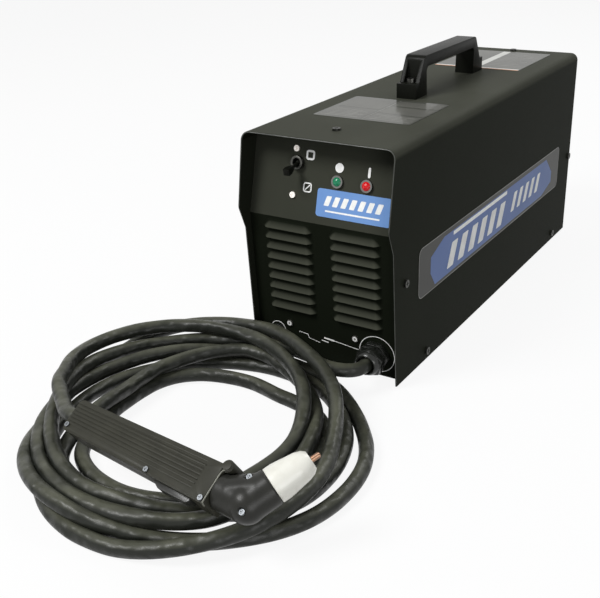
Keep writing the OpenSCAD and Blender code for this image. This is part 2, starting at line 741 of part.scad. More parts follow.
module handle_outline(cut) {
    r = torch_rear_h / 2 - cut;
    f = torch_front_h / 2 - cut;
    polygon(concat(rounded([torch_l, -f], [cut, -r], [cut, r], shell_r, 4),
        rounded([cut, -r], [cut, r], [torch_l, f], shell_r, 4),
        [[torch_l - cut, f], [torch_l - cut, -f]]));
    translate([torch_l + 1, torch_front_h / 2 - 0.5]) circle(lug_r - cut);
}
module torch_half() {
    wall = 3;
    half = torch_t / 2 - mid_gap / 2;
    edge = 0.8;
    difference() {
        union() {
            linear_extrude(half - 2 * edge) handle_outline(0);
            translate([0, 0, half - 2 * edge - eps]) linear_extrude(edge + eps) handle_outline(0.5);
            translate([0, 0, half - edge - eps]) linear_extrude(edge) handle_outline(1.2);
        }
        translate([0, 0, -1]) linear_extrude(half - wall + 1) intersection() {
            handle_outline(wall);
            translate([16, -torch_front_h]) square([torch_l - neck_in - 20, 2 * torch_front_h]);
        }
        rotate([0, 90, 0]) translate([0, 0, -1]) cylinder(r = lead_r + 0.3, h = 30);
        translate([torch_l - neck_in, 0, 0]) rotate([0, 90, 0]) cylinder(r = neck_r + seat, h = 40);
        translate([torch_l, 0, 0]) rotate([0, 90, 0]) cylinder(r = head_r + lug_gap, h = 40);
        translate([trigger_x - 1, near_y - trigger_out - 1, -1])
            cube([trigger_l + 3, trigger_out + 1 + slot_deep, trigger_w / 2 + 1]);
        translate([pin_at[0], pin_at[1], -1]) cylinder(r = pin_r + shaft_gap, h = torch_t / 2 - 2, $fn = 24);
        for (p = screw_at) translate([p[0], p[1], -1]) cylinder(r = torch_screw_r + shaft_gap, h = torch_t, $fn = 24);
        for (k = [0:5]) translate([1.2, -6.5 + k * 3.1, half - 0.6]) cube([torch_l - 16, groove_w, 2]);
    }
    for (p = screw_at) translate([p[0], p[1], 0]) difference() {
        cylinder(r = 2.7, h = half - wall);
        translate([0, 0, -1]) cylinder(r = torch_screw_r + shaft_gap, h = torch_t, $fn = 24);
    }
}
module torch_shell_upper() color(black) at_torch() translate([0, 0, mid_gap / 2]) torch_half();
module torch_shell_lower() color(black) at_torch() mirror([0, 0, 1]) translate([0, 0, mid_gap / 2]) torch_half();
module torch_screws() {
    color(steel_c) at_torch() {
        for (p = screw_at) translate([p[0], p[1], torch_t / 2 + seat]) {
            cross_head(2.2, 1.1);
            translate([0, 0, -torch_t + 4]) cylinder(r = torch_screw_r, h = torch_t - 4 + eps, $fn = 24);
        }
        for (p = head_screw_at) translate([head_x + p[0], p[1], head_screw_z + seat]) {
            cross_head(2.3, 1.2);
            translate([0, 0, -4]) cylinder(r = torch_screw_r, h = 4 + eps, $fn = 24);
        }
    }
}
module torch_trigger() {
    slack = trigger_w - 2 * run_gap;
    color(black) at_torch() difference() {
        translate([0, 0, -slack / 2]) linear_extrude(slack) polygon([
            [trigger_x + 0.5, near_y + trigger_in], [trigger_x, near_y - 1],
            [trigger_x + 6, near_y - trigger_out], [trigger_x + trigger_l - 2, near_y - trigger_out],
            [trigger_x + trigger_l, near_y - trigger_out + 2], [trigger_x + trigger_l, near_y + 1.5],
            [trigger_x + 14, near_y + 3.5], [trigger_x + 7.5, near_y + trigger_in]]);
        translate([pin_at[0], pin_at[1], 0]) cylinder(r = pin_r + shaft_gap, h = 40, center = true, $fn = 24);
    }
}
module trigger_pin() {
    color(steel_c) at_torch() translate([pin_at[0], pin_at[1], 0])
        cylinder(r = pin_r, h = torch_t - 8, center = true, $fn = 24);
}
module trigger_switch() {
    y = near_y + slot_deep + seat;
    depth = 8;
    button = 2.6;
    color([0.12, 0.12, 0.12]) at_torch() {
        translate([trigger_x + 8, y, -3.5]) cube([20, depth, 7]);
        translate([trigger_x + 20.5, y - button, -1]) cube([3, button + 1, 2]);
        translate([trigger_x + 5, y + depth - eps, -10.8]) cube([24, 2, 21.6]);
    }
}

// The head: a neck along the handle, a filled elbow, and a barrel towards the cup
head_lean = -6;
barrel_front = 22;
elbow_r = head_r + 0.6;
web_r = head_r + 0.3;
web_back = 15.3;
web_front = 13;
cup_seat = 0.3;
thread_r = head_r - 3.4;
thread_len = 9;
module at_head() at_torch() translate([head_x, 0, 0]) rotate([head_lean, 0, 0]) rotate([0, 0, head_angle])
    rotate([0, 90, 0]) children();
module torch_head() {
    // The web's middle line joins the neck's to the barrel's
    tip = web_front * [cos(head_angle), sin(head_angle)];
    web_l = norm([tip[0] + web_back, tip[1]]);
    web_angle = atan2(tip[1], tip[0] + web_back);
    color([0.09, 0.09, 0.085]) difference() {
        union() {
            at_torch() translate([torch_l - neck_in + seat, 0, 0]) rotate([0, 90, 0])
                cylinder(r = neck_r, h = neck_in + 2);
            at_torch() translate([torch_l + seat, 0, 0]) rotate([0, 90, 0]) cylinder(r = head_r, h = head_out - seat);
            at_torch() translate([head_x, 0, 0]) sphere(r = elbow_r);
            at_torch() translate([head_x - web_back, 0, 0]) rotate([head_lean, 0, 0]) rotate([0, 0, web_angle])
                rotate([0, 90, 0]) cylinder(r = web_r, h = web_l);
            at_head() cylinder(r = head_r, h = barrel_front);
            at_head() translate([0, 0, barrel_front - eps]) cylinder(r = thread_r, h = thread_len);
        }
        at_head() translate([0, 0, -4]) cylinder(r = electrode_r + 0.1, h = 60);
        at_torch() for (p = head_screw_at) translate([head_x + p[0], p[1], head_screw_z]) {
            cylinder(r = 2.9, h = head_r, $fn = 32);
            translate([0, 0, -4.2]) cylinder(r = torch_screw_r + shaft_gap, h = 5, $fn = 24);
        }
    }
}
electrode_r = 2.5;
electrode_out = 8;
tip_base_r = 6.5;
tip_base_l = 12;
module shield_cup() {
    cup_r = head_r - 0.5;
    wall = 2.2;
    bore_r = thread_r + shaft_gap;
    mouth = tip_r + 1.6;
    color([0.88, 0.88, 0.85]) at_head() translate([0, 0, barrel_front + cup_seat]) difference() {
        rotate_extrude() polygon([[0, 0], [cup_r, 0], [cup_r, cup_l * 0.2], [cup_r - 1.9, cup_l * 0.67],
            [cup_r - 4, cup_l * 0.91], [cup_mouth_r, cup_l], [0, cup_l]]);
        translate([0, 0, -1]) cylinder(r = bore_r, h = thread_len + 1.5);
        translate([0, 0, thread_len]) rotate_extrude() polygon([[0, 0], [bore_r - wall, 0],
            [bore_r - wall, tip_base_l + 1.5], [mouth, cup_l - thread_len - 2.5], [mouth, cup_l], [0, cup_l]]);
    }
}
module torch_tip() {
    length = cup_l + tip_out - thread_len;
    cone = 1;
    color([0.72, 0.42, 0.26]) at_head() translate([0, 0, barrel_front + thread_len + seat]) difference() {
        union() {
            cylinder(r = tip_base_r, h = tip_base_l);
            translate([0, 0, tip_base_l - eps]) cylinder(r = tip_r, h = length - tip_base_l - cone);
            translate([0, 0, length - cone - 2 * eps]) cylinder(r1 = tip_r, r2 = tip_r - cone, h = cone);
        }
        translate([0, 0, -1]) cylinder(r = electrode_r + 0.6, h = electrode_out + 2.5);
        translate([0, 0, -1]) cylinder(r = 0.6, h = 80, $fn = 24);
    }
}
module electrode() {
    color([0.7, 0.4, 0.25]) at_head() translate([0, 0, -3.9])
        cylinder(r = electrode_r, h = 3.9 + barrel_front + thread_len + electrode_out);
}

// Compressor ---------------------------------------------------------------
mount_h = 7;
mount_r = 8;
plate_t = 3;
plate_z = pan_top + seat + mount_h;
axle_z = plate_z + plate_t + motor_r + 3;
crank_y = [-28, 30];
motor_y = crank_y[1] + seat;
plate_y = [-24, 118];
plate_x = [-pump_x - 34, -pump_x + 34];
module compressor_plate() {
    color(steel_c) translate([plate_x[0], plate_y[0], plate_z + seat])
        cube([plate_x[1] - plate_x[0], plate_y[1] - plate_y[0], plate_t - seat]);
}
module compressor_mounts() {
    color(rubber_c) for (x = [plate_x[0] + mount_r, plate_x[1] - mount_r])
        for (y = [plate_y[0] + mount_r, plate_y[1] - mount_r])
            translate([x, y, pan_top + seat]) cylinder(r = mount_r, h = mount_h);
}
shaft_r = 4;
module compressor_motor() {
    cradle = 24;
    color([0.2, 0.2, 0.21]) translate([-pump_x, motor_y, 0]) difference() {
        union() {
            translate([0, 0, axle_z]) inwards() cylinder(r = motor_r, h = motor_l);
            for (y = [10, motor_l - 28]) translate([-cradle, y, plate_z + plate_t + seat])
                cube([2 * cradle, 14, axle_z - plate_z - plate_t - motor_r * 0.72]);
        }
        translate([0, motor_l - 14, axle_z]) inwards() cylinder(r = shaft_r + shaft_gap, h = 20);
    }
}
module compressor_pump() {
    base = plate_z + plate_t + seat;
    crank_h = 2 * (axle_z - base);
    fin_w = 2 * cylinder_r + 14;
    color(alu_c) translate([-pump_x, 0, 0]) {
        translate([-crank_w / 2, crank_y[0], base]) cube([crank_w, crank_y[1] - crank_y[0], crank_h]);
        translate([0, 1, base + crank_h - eps]) cylinder(r = cylinder_r, h = cylinder_h);
        for (k = [1:5]) translate([-fin_w / 2, 1 - fin_w / 2, base + crank_h + k * cylinder_h / 6 - 1])
            cube([fin_w, fin_w, 1.6]);
    }
}
head_base = plate_z + plate_t + seat + 2 * (axle_z - plate_z - plate_t - seat) + cylinder_h;
port_at = [-pump_x, -12, head_base + 16 + seat];
module cylinder_head() {
    w = 2 * cylinder_r + 10;
    color([0.6, 0.61, 0.62]) translate([-pump_x, 1, head_base + seat]) {
        translate([-w / 2, -w / 2, 0]) cube([w, w, 14]);
        for (sx = [-1, 1]) for (sy = [-1, 1]) translate([sx * (w / 2 - 6), sy * (w / 2 - 6), 14 - eps])
            cylinder(r = 4, h = 3, $fn = 6);
    }
}
module motor_fan() {
    n = 8;
    color([0.8, 0.8, 0.78]) translate([-pump_x, motor_y, axle_z]) inwards() {
        translate([0, 0, motor_l - 13.8]) cylinder(r = shaft_r, h = 28);
        translate([0, 0, motor_l + 2]) cylinder(r = 10, h = 12);
        for (k = [0:n - 1]) rotate([0, 0, 360 * k / n]) translate([8, -1, motor_l + 3])
            rotate([18, 0, 0]) cube([motor_r - 12, 1.6, 10]);
    }
}

// Fan at the rear ----------------------------------------------------------
fan_bolt_r = 2;
fan_bolt_at = fan_w / 2 - 7;
hub_r = 19;
module fan_bolts(r) {
    for (sx = [-1, 1]) for (sz = [-1, 1])
        translate([sx * fan_bolt_at, back_y + 4, fan_z + sz * fan_bolt_at]) outwards()
            cylinder(r = r, h = 14, $fn = 24);
}
fan_front = back_y - seat - fan_d;
module fan_frame() {
    color(black) difference() {
        union() {
            translate([-fan_w / 2, fan_front, fan_z - fan_w / 2]) difference() {
                cube([fan_w, fan_d, fan_w]);
                translate([fan_w / 2, -1, fan_w / 2]) inwards() cylinder(r = fan_r, h = fan_d + 2);
            }
            for (a = [45, 165, 285]) translate([0, back_y - seat - 4.5, fan_z]) rotate([0, a, 0])
                translate([-2.5, 0, hub_r - 2]) cube([5, 4, fan_r - hub_r + 3]);
            translate([0, back_y - seat - 5, fan_z]) inwards() cylinder(r = hub_r, h = 4.8);
        }
        fan_bolts(fan_bolt_r + shaft_gap);
        translate([0, back_y - 20, fan_z]) inwards() cylinder(r = shaft_r / 2 + shaft_gap, h = 40, $fn = 32);
    }
}
module fan_rotor() {
    hub_l = fan_d - 12;
    color([0.14, 0.14, 0.14]) translate([0, fan_front + 5, fan_z]) {
        inwards() cylinder(r = hub_r, h = hub_l);
        inwards() cylinder(r = shaft_r / 2, h = fan_d - 5.5, $fn = 32);
        for (k = [0:blade_n - 1]) rotate([0, 360 * k / blade_n, 0])
            translate([hub_r - 2, hub_l / 2, 0]) rotate([-38, 0, 0])
                translate([0, -hub_l * 0.45, -1]) cube([fan_r - hub_r - 0.5, hub_l * 0.9, 2]);
    }
}
module fan_guard() {
    wire = 1.1;
    color(steel_c) translate([0, back_y + sheet_t + seat + wire, fan_z]) inwards() {
        for (r = [14:9.5:fan_r - 1]) rotate_extrude() translate([r, 0]) circle(wire, $fn = 16);
        for (a = [0, 60, 120]) rotate([90, 0, a]) translate([0, 0, -fan_r + 1])
            translate([0, wire * 1.2, 0]) cylinder(r = wire * 0.8, h = 2 * fan_r - 2, $fn = 16);
        for (a = [45:90:315]) rotate([0, 0, a]) difference() {
            union() {
                translate([fan_r - 6, -1.6, -wire]) cube([fan_bolt_at * sqrt(2) - fan_r + 6, 3.2, 1.6]);
                translate([fan_bolt_at * sqrt(2), 0, -wire]) cylinder(r = 4.4, h = 1.6);
            }
            translate([fan_bolt_at * sqrt(2), 0, -5]) cylinder(r = fan_bolt_r + seat, h = 10, $fn = 24);
        }
    }
}
module fan_screws() {
    face = back_y + sheet_t + 2 * seat + 1.6;
    color(black) for (sx = [-1, 1]) for (sz = [-1, 1])
        translate([sx * fan_bolt_at, face, fan_z + sz * fan_bolt_at]) inwards() {
            cross_head(3.6, 2);
            translate([0, 0, -11]) cylinder(r = fan_bolt_r, h = 11 + eps, $fn = 24);
        }
}

// Power electronics --------------------------------------------------------
wall_x = 12;
wall_y = [front_y + 95, rear_y - 65];
coils_x = panel_w / 2 - sheet_t - 48.5;
wall_h = case_h - 50;
wall_t = 1.5;
wall_z = pan_top + seat;
face_x = wall_x + wall_t + seat;
board_y = [wall_y[0] + 5, wall_y[0] + 98];
board_z = [72, case_h - 54];
module divider_plate() {
    color(alu_c) {
        translate([wall_x, wall_y[0], wall_z]) cube([wall_t, wall_y[1] - wall_y[0], wall_h]);
        translate([wall_x, wall_y[0], wall_z]) cube([coils_x - 3 - wall_x, wall_y[1] - wall_y[0], wall_t]);
    }
}
module heat_sink() {
    fins = 9;
    size = [42, 140, 84];
    base = 6;
    color([0.3, 0.3, 0.31]) translate([face_x, board_y[1] + 7, 104]) {
        cube([base, size[1], size[2]]);
        for (k = [0:fins - 1]) translate([base - eps, 0, k * (size[2] - 2) / (fins - 1)])
            cube([size[0] - base, size[1], 2]);
    }
}
board_off = 7;
board_x = face_x + board_off;
module main_board() {
    color([0.12, 0.35, 0.2]) {
        translate([board_x, board_y[0], board_z[0]])
            cube([1.6, board_y[1] - board_y[0], board_z[1] - board_z[0]]);
        for (y = [board_y[0] + 6, board_y[1] - 6]) for (z = [board_z[0] + 6, board_z[1] - 6])
            translate([face_x, y, z]) rotate([0, 90, 0]) cylinder(r = 3, h = board_off + eps, $fn = 24);
        translate([board_x + 1.6 - eps, board_y[0] + 8, board_z[0] + 8]) cube([14, 30, 12]);
        translate([board_x + 1.6 - eps, board_y[1] - 26, board_z[0] + 8]) cube([22, 20, 20]);
    }
}
module capacitors() {
    r = 13;
    color([0.16, 0.2, 0.32]) for (k = [0:2]) for (j = [0:1])
        translate([board_x + 1.6 + seat, board_y[0] + 16 + k * 29, board_z[0] + 48 + j * 30])
            rotate([0, 90, 0]) cylinder(r = r, h = 32);
}
module main_transformer() {
    core = [44, 66, 54];
    leg = 12;
    at = [coils_x, wall_y[1] - 98];
    color([0.25, 0.24, 0.24]) translate([at[0], at[1], wall_z]) difference() {
        cube(core);
        for (z = [leg, core[2] / 2 + leg / 4]) translate([-1, leg, z])
            cube([core[0] + 2, core[1] - 2 * leg, core[2] / 2 - leg * 1.25]);
    }
    color([0.72, 0.45, 0.2]) translate([at[0] - 1.5, at[1] + leg + seat, wall_z + leg + seat]) difference() {
        cube([core[0] + 3, core[1] - 2 * leg - 2 * seat, core[2] - 2 * leg - 2 * seat]);
        translate([-1, -1, core[2] / 2 - leg * 1.25 - 2 * seat]) cube([core[0] + 6, core[1], leg / 2 + 8 * seat]);
    }
}
module output_choke() {
    ring_r = 15;
    wire_r = 8.5;
    color([0.7, 0.42, 0.2]) translate([coils_x + 23, wall_y[1] - 160, wall_z + wire_r]) {
        rotate_extrude() translate([ring_r, 0]) circle(wire_r);
    }
}
module control_board() {
    size = [1.6, 90, 76];
    off = 7;
    color([0.1, 0.3, 0.35]) translate([wall_x - seat, board_y[0] + 5, 112]) {
        translate([-off - size[0], 0, 0]) cube(size);
        for (y = [6, size[1] - 6]) for (z = [6, size[2] - 6]) translate([-off - eps, y, z])
            rotate([0, 90, 0]) cylinder(r = 3, h = off + eps, $fn = 24);
        translate([-off - size[0] - 16 + eps, 6, 20]) cube([16, 26, 16]);
        translate([-off - size[0] - 10 + eps, 50, 30]) cube([10, 30, 8]);
    }
}
valve_at = [46, front_y + 47, 0];
valve_size = [24, 34, 32];
module gas_valve() {
    z = pan_top + seat;
    color([0.72, 0.6, 0.3]) {
        translate([valve_at[0], valve_at[1], z]) cube(valve_size);
        translate([valve_at[0] + 12, valve_at[1] + 20, z + valve_size[2] - eps]) cylinder(r = 9, h = 26);
    }
}
module outlet_pipe() {
    r = 5;
    color([0.75, 0.6, 0.3]) {
        start = foot_y + sheet_t + thread_in + 1.5;
        translate([gland_x, start, pan_z + gland_s - 1]) inwards()
            cylinder(r = r, h = valve_at[1] - seat - start);
    }
}
module air_hose() {
    r = 4;
    top = port_at[2];
    valve_top = pan_top + valve_size[2] + 0.3;
    color([0.2, 0.35, 0.6]) tube(smooth([
        [-pump_x, 1, top - 1.8], [-pump_x, 1, top + 4], [-pump_x + 1, -2, top + 12], [-pump_x + 4, -14, top + 18],
        [-pump_x + 9, -34, top + 18], [-16, -80, top - 2], [-10, valve_at[1] + 78, 120],
        [0, valve_at[1] + 36, 90], [18, valve_at[1] + 18, 62], [38, valve_at[1] + 10, 50],
        [52, valve_at[1] + 7, 45], [55, valve_at[1] + 6.5, 42],
        [55.5, valve_at[1] + 6.5, valve_top]], 3), r, 8);
}

base_pan();
rubber_feet();
front_panel();
rear_panel();
cover();
cover_screws();
carry_handle();
handle_bolts();
switch_body();
switch_collar();
switch_lever();
switch_screws();
lamp_bezels();
green_lens();
red_lens();
front_label();
side_labels();
top_label_front();
top_label_rear();
torch_gland();
work_gland();
gland_locknuts();
panel_rivets();
torch_lead();
torch_lead_coil();
torch_lead_tail();
torch_shell_upper();
torch_shell_lower();
torch_screws();
torch_trigger();
trigger_pin();
trigger_switch();
torch_head();
shield_cup();
torch_tip();
electrode();
compressor_plate();
compressor_mounts();
compressor_motor();
compressor_pump();
cylinder_head();
motor_fan();
fan_frame();
fan_rotor();
fan_guard();
fan_screws();
divider_plate();
heat_sink();
main_board();
capacitors();
main_transformer();
output_choke();
control_board();
gas_valve();
outlet_pipe();
air_hose();
mains_gland();
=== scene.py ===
import json
import math

import bmesh
import bpy
from mathutils import Matrix, Vector, noise


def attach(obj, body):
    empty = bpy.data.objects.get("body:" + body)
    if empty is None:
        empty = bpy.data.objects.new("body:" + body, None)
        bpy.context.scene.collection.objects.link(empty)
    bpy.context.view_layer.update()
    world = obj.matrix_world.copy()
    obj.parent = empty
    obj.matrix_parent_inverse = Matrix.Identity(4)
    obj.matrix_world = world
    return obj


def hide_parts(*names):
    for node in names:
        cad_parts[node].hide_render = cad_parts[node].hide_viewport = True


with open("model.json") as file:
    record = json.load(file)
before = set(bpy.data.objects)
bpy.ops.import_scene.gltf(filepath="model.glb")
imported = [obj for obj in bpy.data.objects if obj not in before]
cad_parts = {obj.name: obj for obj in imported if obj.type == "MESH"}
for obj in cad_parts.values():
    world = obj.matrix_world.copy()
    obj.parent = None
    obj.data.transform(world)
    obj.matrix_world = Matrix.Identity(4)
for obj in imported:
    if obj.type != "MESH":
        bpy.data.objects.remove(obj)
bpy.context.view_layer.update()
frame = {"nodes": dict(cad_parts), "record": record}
nodes = frame["nodes"]
mm = 0.001
print("frame loaded with", len(nodes), "nodes")

case = dict(width=165, height=240, cornerRadius=9)
upperFace = dict(foot=(-252.6, 157), top=(-232.5, 238.2))  # y and z where a front face starts and ends
lowerFace = dict(foot=(-243.5, 6), top=(-252.6, 157))

camera = dict(
    azimuth=33.1,  # degrees to the right of straight ahead
    elevation=24.33,
    roll=-2.04,
    place=(0.4379, -0.9636, 0.4577),
    focal=55.99,
    sensor=36,
    nearest=0.01,
    farthest=50,
)


def makeCamera():
    azimuth, elevation, roll = (math.radians(camera[k]) for k in ("azimuth", "elevation", "roll"))
    back = Vector((math.sin(azimuth) * math.cos(elevation),
                   -math.cos(azimuth) * math.cos(elevation), math.sin(elevation)))
    right = Vector((math.cos(azimuth), math.sin(azimuth), 0))
    up = back.cross(right)
    sideways = right * math.cos(roll) + up * math.sin(roll)
    upwards = up * math.cos(roll) - right * math.sin(roll)
    turn = Matrix((sideways, upwards, back)).transposed().to_4x4()
    lens = bpy.data.cameras.new("mainCamera")
    lens.sensor_fit = "HORIZONTAL"
    lens.sensor_width = camera["sensor"]
    lens.lens = camera["focal"]
    lens.clip_start = camera["nearest"]
    lens.clip_end = camera["farthest"]
    holder = bpy.data.objects.new("mainCamera", lens)
    holder.matrix_world = Matrix.Translation(camera["place"]) @ turn
    bpy.context.scene.collection.objects.link(holder)
    bpy.context.scene.camera = holder


makeCamera()

solidCopy = dict(
    join=0.02,  # mm between corners that are taken for one
    flat=0.5,  # degrees between faces that are taken for one
    sharp=50,
)


def link(piece, body, slot, *stands):
    bpy.context.scene.collection.objects.link(piece)
    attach(piece, body)
    if stands:
        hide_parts(*stands)


def meshPiece(name, points, faces, finish, smooth=True, sharpAngle=35):
    data = bpy.data.meshes.new(name)
    data.from_pydata([tuple(p) for p in points], [], faces)
    work = bmesh.new()
    work.from_mesh(data)
    bmesh.ops.recalc_face_normals(work, faces=work.faces)
    work.to_mesh(data)
    work.free()
    data.materials.append(finish)
    if smooth:
        data.shade_smooth()
        data.set_sharp_from_angle(angle=math.radians(sharpAngle))
    return bpy.data.objects.new(name, data)


def copyOf(node, name, finish):
    data = nodes[node].data.copy()
    data.name = name
    data.materials.clear()
    data.materials.append(finish)
    piece = bpy.data.objects.new(name, data)
    bpy.context.scene.collection.objects.link(piece)
    return piece


def applyModifiers(piece):
    bpy.context.view_layer.update()
    graph = bpy.context.evaluated_depsgraph_get()
    finished = bpy.data.meshes.new_from_object(piece.evaluated_get(graph))
    piece.modifiers.clear()
    piece.data = finished
    piece.data.shade_smooth()
    bpy.context.scene.collection.objects.unlink(piece)


def softened(name, node, finish, width, segments, angle=32):
    # A copy of a solid whose sharp edges are rounded over
    piece = copyOf(node, name, finish)
    work = bmesh.new()
    work.from_mesh(piece.data)
    bmesh.ops.remove_doubles(work, verts=work.verts, dist=solidCopy["join"] * mm)
    bmesh.ops.dissolve_limit(work, angle_limit=math.radians(solidCopy["flat"]),
                             verts=work.verts, edges=work.edges)
    work.to_mesh(piece.data)
    work.free()
    bevel = piece.modifiers.new("edges", "BEVEL")
    bevel.width = width * mm
    bevel.segments = segments
    bevel.limit_method = "ANGLE"
    bevel.angle_limit = math.radians(angle)
    bevel.use_clamp_overlap = True
    applyModifiers(piece)
    piece.data.set_sharp_from_angle(angle=math.radians(solidCopy["sharp"]))
    return piece


def moulded(name, node, finish, voxel, rounds):
    # A copy of a solid with every edge melted into its neighbours, as in a moulding
    piece = copyOf(node, name, finish)
    remesh = piece.modifiers.new("voxels", "REMESH")
    remesh.mode = "VOXEL"
    remesh.voxel_size = voxel * mm
    smooth = piece.modifiers.new("smooth", "SMOOTH")
    smooth.factor = 0.5
    smooth.iterations = rounds
    applyModifiers(piece)
    return piece


def catmull(a, b, c, d, t):
    return 0.5 * (2 * b + (c - a) * t + (2 * a - 5 * b + 4 * c - d) * t * t
                  + (3 * b - a - 3 * c + d) * t ** 3)


def smoothPath(points, steps):
    points = [Vector(p) for p in points]
    last = len(points) - 1
    path = [catmull(points[max(i - 1, 0)], points[i], points[i + 1], points[min(i + 2, last)], k / steps)
            for i in range(last) for k in range(steps)]
    return path + [points[-1]]


def evenly(path, gap):
    # The same line with points an even distance apart
    out = [path[0]]
    left = gap
    for a, b in zip(path, path[1:]):
        step = (b - a).length
        while step > left:
            a = a + (b - a) * (left / step)
            out.append(a)
            step = (b - a).length
            left = gap
        left -= step
    out.append(path[-1])
    return out


def tubeMesh(path, radiusAt, sides):
    # Rings along the path, each turned as little as possible from the one before
    last = len(path) - 1
    points, faces = [], []
    first = (path[1] - path[0]).normalized()
    side = first.cross(Vector((0, 0, 1)))
    if side.length < 0.1:  # the path starts straight up
        side = first.cross(Vector((1, 0, 0)))
    for i, middle in enumerate(path):
        heading = (path[min(i + 1, last)] - path[max(i - 1, 0)]).normalized()
        side = (side - heading * side.dot(heading)).normalized()
        over = heading.cross(side)
        for k in range(sides):
            angle = 2 * math.pi * k / sides
            points.append(middle + (side * math.cos(angle) + over * math.sin(angle)) * radiusAt(i, angle))
    for i in range(last):
        for k in range(sides):
            j = i + 1
            m = (k + 1) % sides
            faces.append((i * sides + k, i * sides + m, j * sides + m, j * sides + k))
    faces.append(tuple(range(sides - 1, -1, -1)))
    faces.append(tuple(last * sides + k for k in range(sides)))
    return points, faces


broadBand = (0.35, 0.65)  # the stretch of a cloud's values over which broad patches change
fineBand = (0.3, 0.7)  # the same for fine grain


def newFinish(name, colour, roughness, metallic=0.0, level=0.5):
    finish = bpy.data.materials.new(name)
    finish.use_nodes = True
    shader = finish.node_tree.nodes["Principled BSDF"]
    shader.inputs["Base Color"].default_value = (*colour, 1)
    shader.inputs["Roughness"].default_value = roughness
    shader.inputs["Metallic"].default_value = metallic
    shader.inputs["Specular IOR Level"].default_value = level
    finish.diffuse_color = (*colour, 1)
    return finish, finish.node_tree, shader.inputs


def place(tree, stretch=(1, 1, 1)):
    where = tree.nodes.new("ShaderNodeTexCoord")
    sizes = tree.nodes.new("ShaderNodeMapping")
    sizes.inputs["Scale"].default_value = stretch
    tree.links.new(where.outputs["Object"], sizes.inputs["Vector"])
    return sizes.outputs["Vector"]


def cloud(tree, where, scale, detail=3.0):
    texture = tree.nodes.new("ShaderNodeTexNoise")
    texture.inputs["Scale"].default_value = scale
    texture.inputs["Detail"].default_value = detail
    texture.inputs["Roughness"].default_value = 0.55
    tree.links.new(where, texture.inputs["Vector"])
    return texture.outputs["Fac"]


def grainCloud(tree, where, scale):
    return cloud(tree, where, scale, detail=2.0)


def remap(tree, value, band, span=(0, 1)):
    node = tree.nodes.new("ShaderNodeMapRange")
    for socket, number in zip(("From Min", "From Max", "To Min", "To Max"), (*band, *span)):
        node.inputs[socket].default_value = number
    tree.links.new(value, node.inputs["Value"])
    return node.outputs["Result"]


def combine(tree, operation, first, second):
    node = tree.nodes.new("ShaderNodeMath")
    node.operation = operation
    tree.links.new(first, node.inputs[0])
    if isinstance(second, float):
        node.inputs[1].default_value = second
    else:
        tree.links.new(second, node.inputs[1])
    return node.outputs[0]


def blendColour(tree, factor, first, second):
    node = tree.nodes.new("ShaderNodeMix")
    node.data_type = "RGBA"
    for socket, colour in ((node.inputs["A"], first), (node.inputs["B"], second)):
        if isinstance(colour, tuple):
            socket.default_value = (*colour, 1)
        else:
            tree.links.new(colour, socket)
    tree.links.new(factor, node.inputs["Factor"])
    return node.outputs["Result"]


def bumpFrom(tree, height, strength, depth, before=None):
    node = tree.nodes.new("ShaderNodeBump")
    node.inputs["Strength"].default_value = strength
    node.inputs["Distance"].default_value = depth
    tree.links.new(height, node.inputs["Height"])
    if before:
        tree.links.new(before, node.inputs["Normal"])
    return node.outputs["Normal"]


def facingUp(tree, band):
    # 0 for faces that lean down, 1 for those that look up, which are painted as if lit from above
    geometry = tree.nodes.new("ShaderNodeNewGeometry")
    parts = tree.nodes.new("ShaderNodeSeparateXYZ")
    tree.links.new(geometry.outputs["Normal"], parts.inputs["Vector"])
    return remap(tree, parts.outputs["Z"], band)


def scaled(colour, amount):
    return tuple(min(1.0, c * amount) for c in colour)


def speckled(name, colour, roughness, metallic=0.0, patches=14, grain=900, grainDepth=0.00008,
             tint=0.12, roughSpread=0.08, strength=0.35, level=0.5, second=None, stretch=(1, 1, 1)):
    # Broad patches tint the colour, fine grain dents the surface
    finish, tree, inputs = newFinish(name, colour, roughness, metallic, level)
    where = place(tree, stretch)
    factor = remap(tree, cloud(tree, where, patches), broadBand)
    fine = grainCloud(tree, where, grain)
    mixed = blendColour(tree, factor, scaled(colour, 1 - tint), second or scaled(colour, 1 + tint))
    rough = remap(tree, fine, fineBand, (roughness - roughSpread, roughness + roughSpread))
    tree.links.new(mixed, inputs["Base Color"])
    tree.links.new(rough, inputs["Roughness"])
    tree.links.new(bumpFrom(tree, fine, strength, grainDepth), inputs["Normal"])
    return finish


def metal(name, colour, roughness, brushed=(1, 1, 1)):
    return speckled(name, colour, roughness, metallic=1.0, patches=70, grain=260, tint=0.08,
                    grainDepth=0.00004, roughSpread=0.09, strength=0.3, stretch=brushed)


paintLook = dict(
    # The first colour is the paint with painted shade, for faces that look aside or down; the second is the
    # paint with painted light, for faces that look up
    paintInShade=(0.0075, 0.0092, 0.0058),
    paintInLight=(0.052, 0.054, 0.042),
    lightSlopes=(-0.06, 0.35),  # how far up a face has to look before the painted light starts, and before it is full
    roughness=0.5,
    roughnessSpan=(0.42, 0.58),
    level=0.012,
    patches=9,
    mottle=0.08,
    grain=1300,
    grainStrength=0.4,
    grainDepth=0.0001,
)


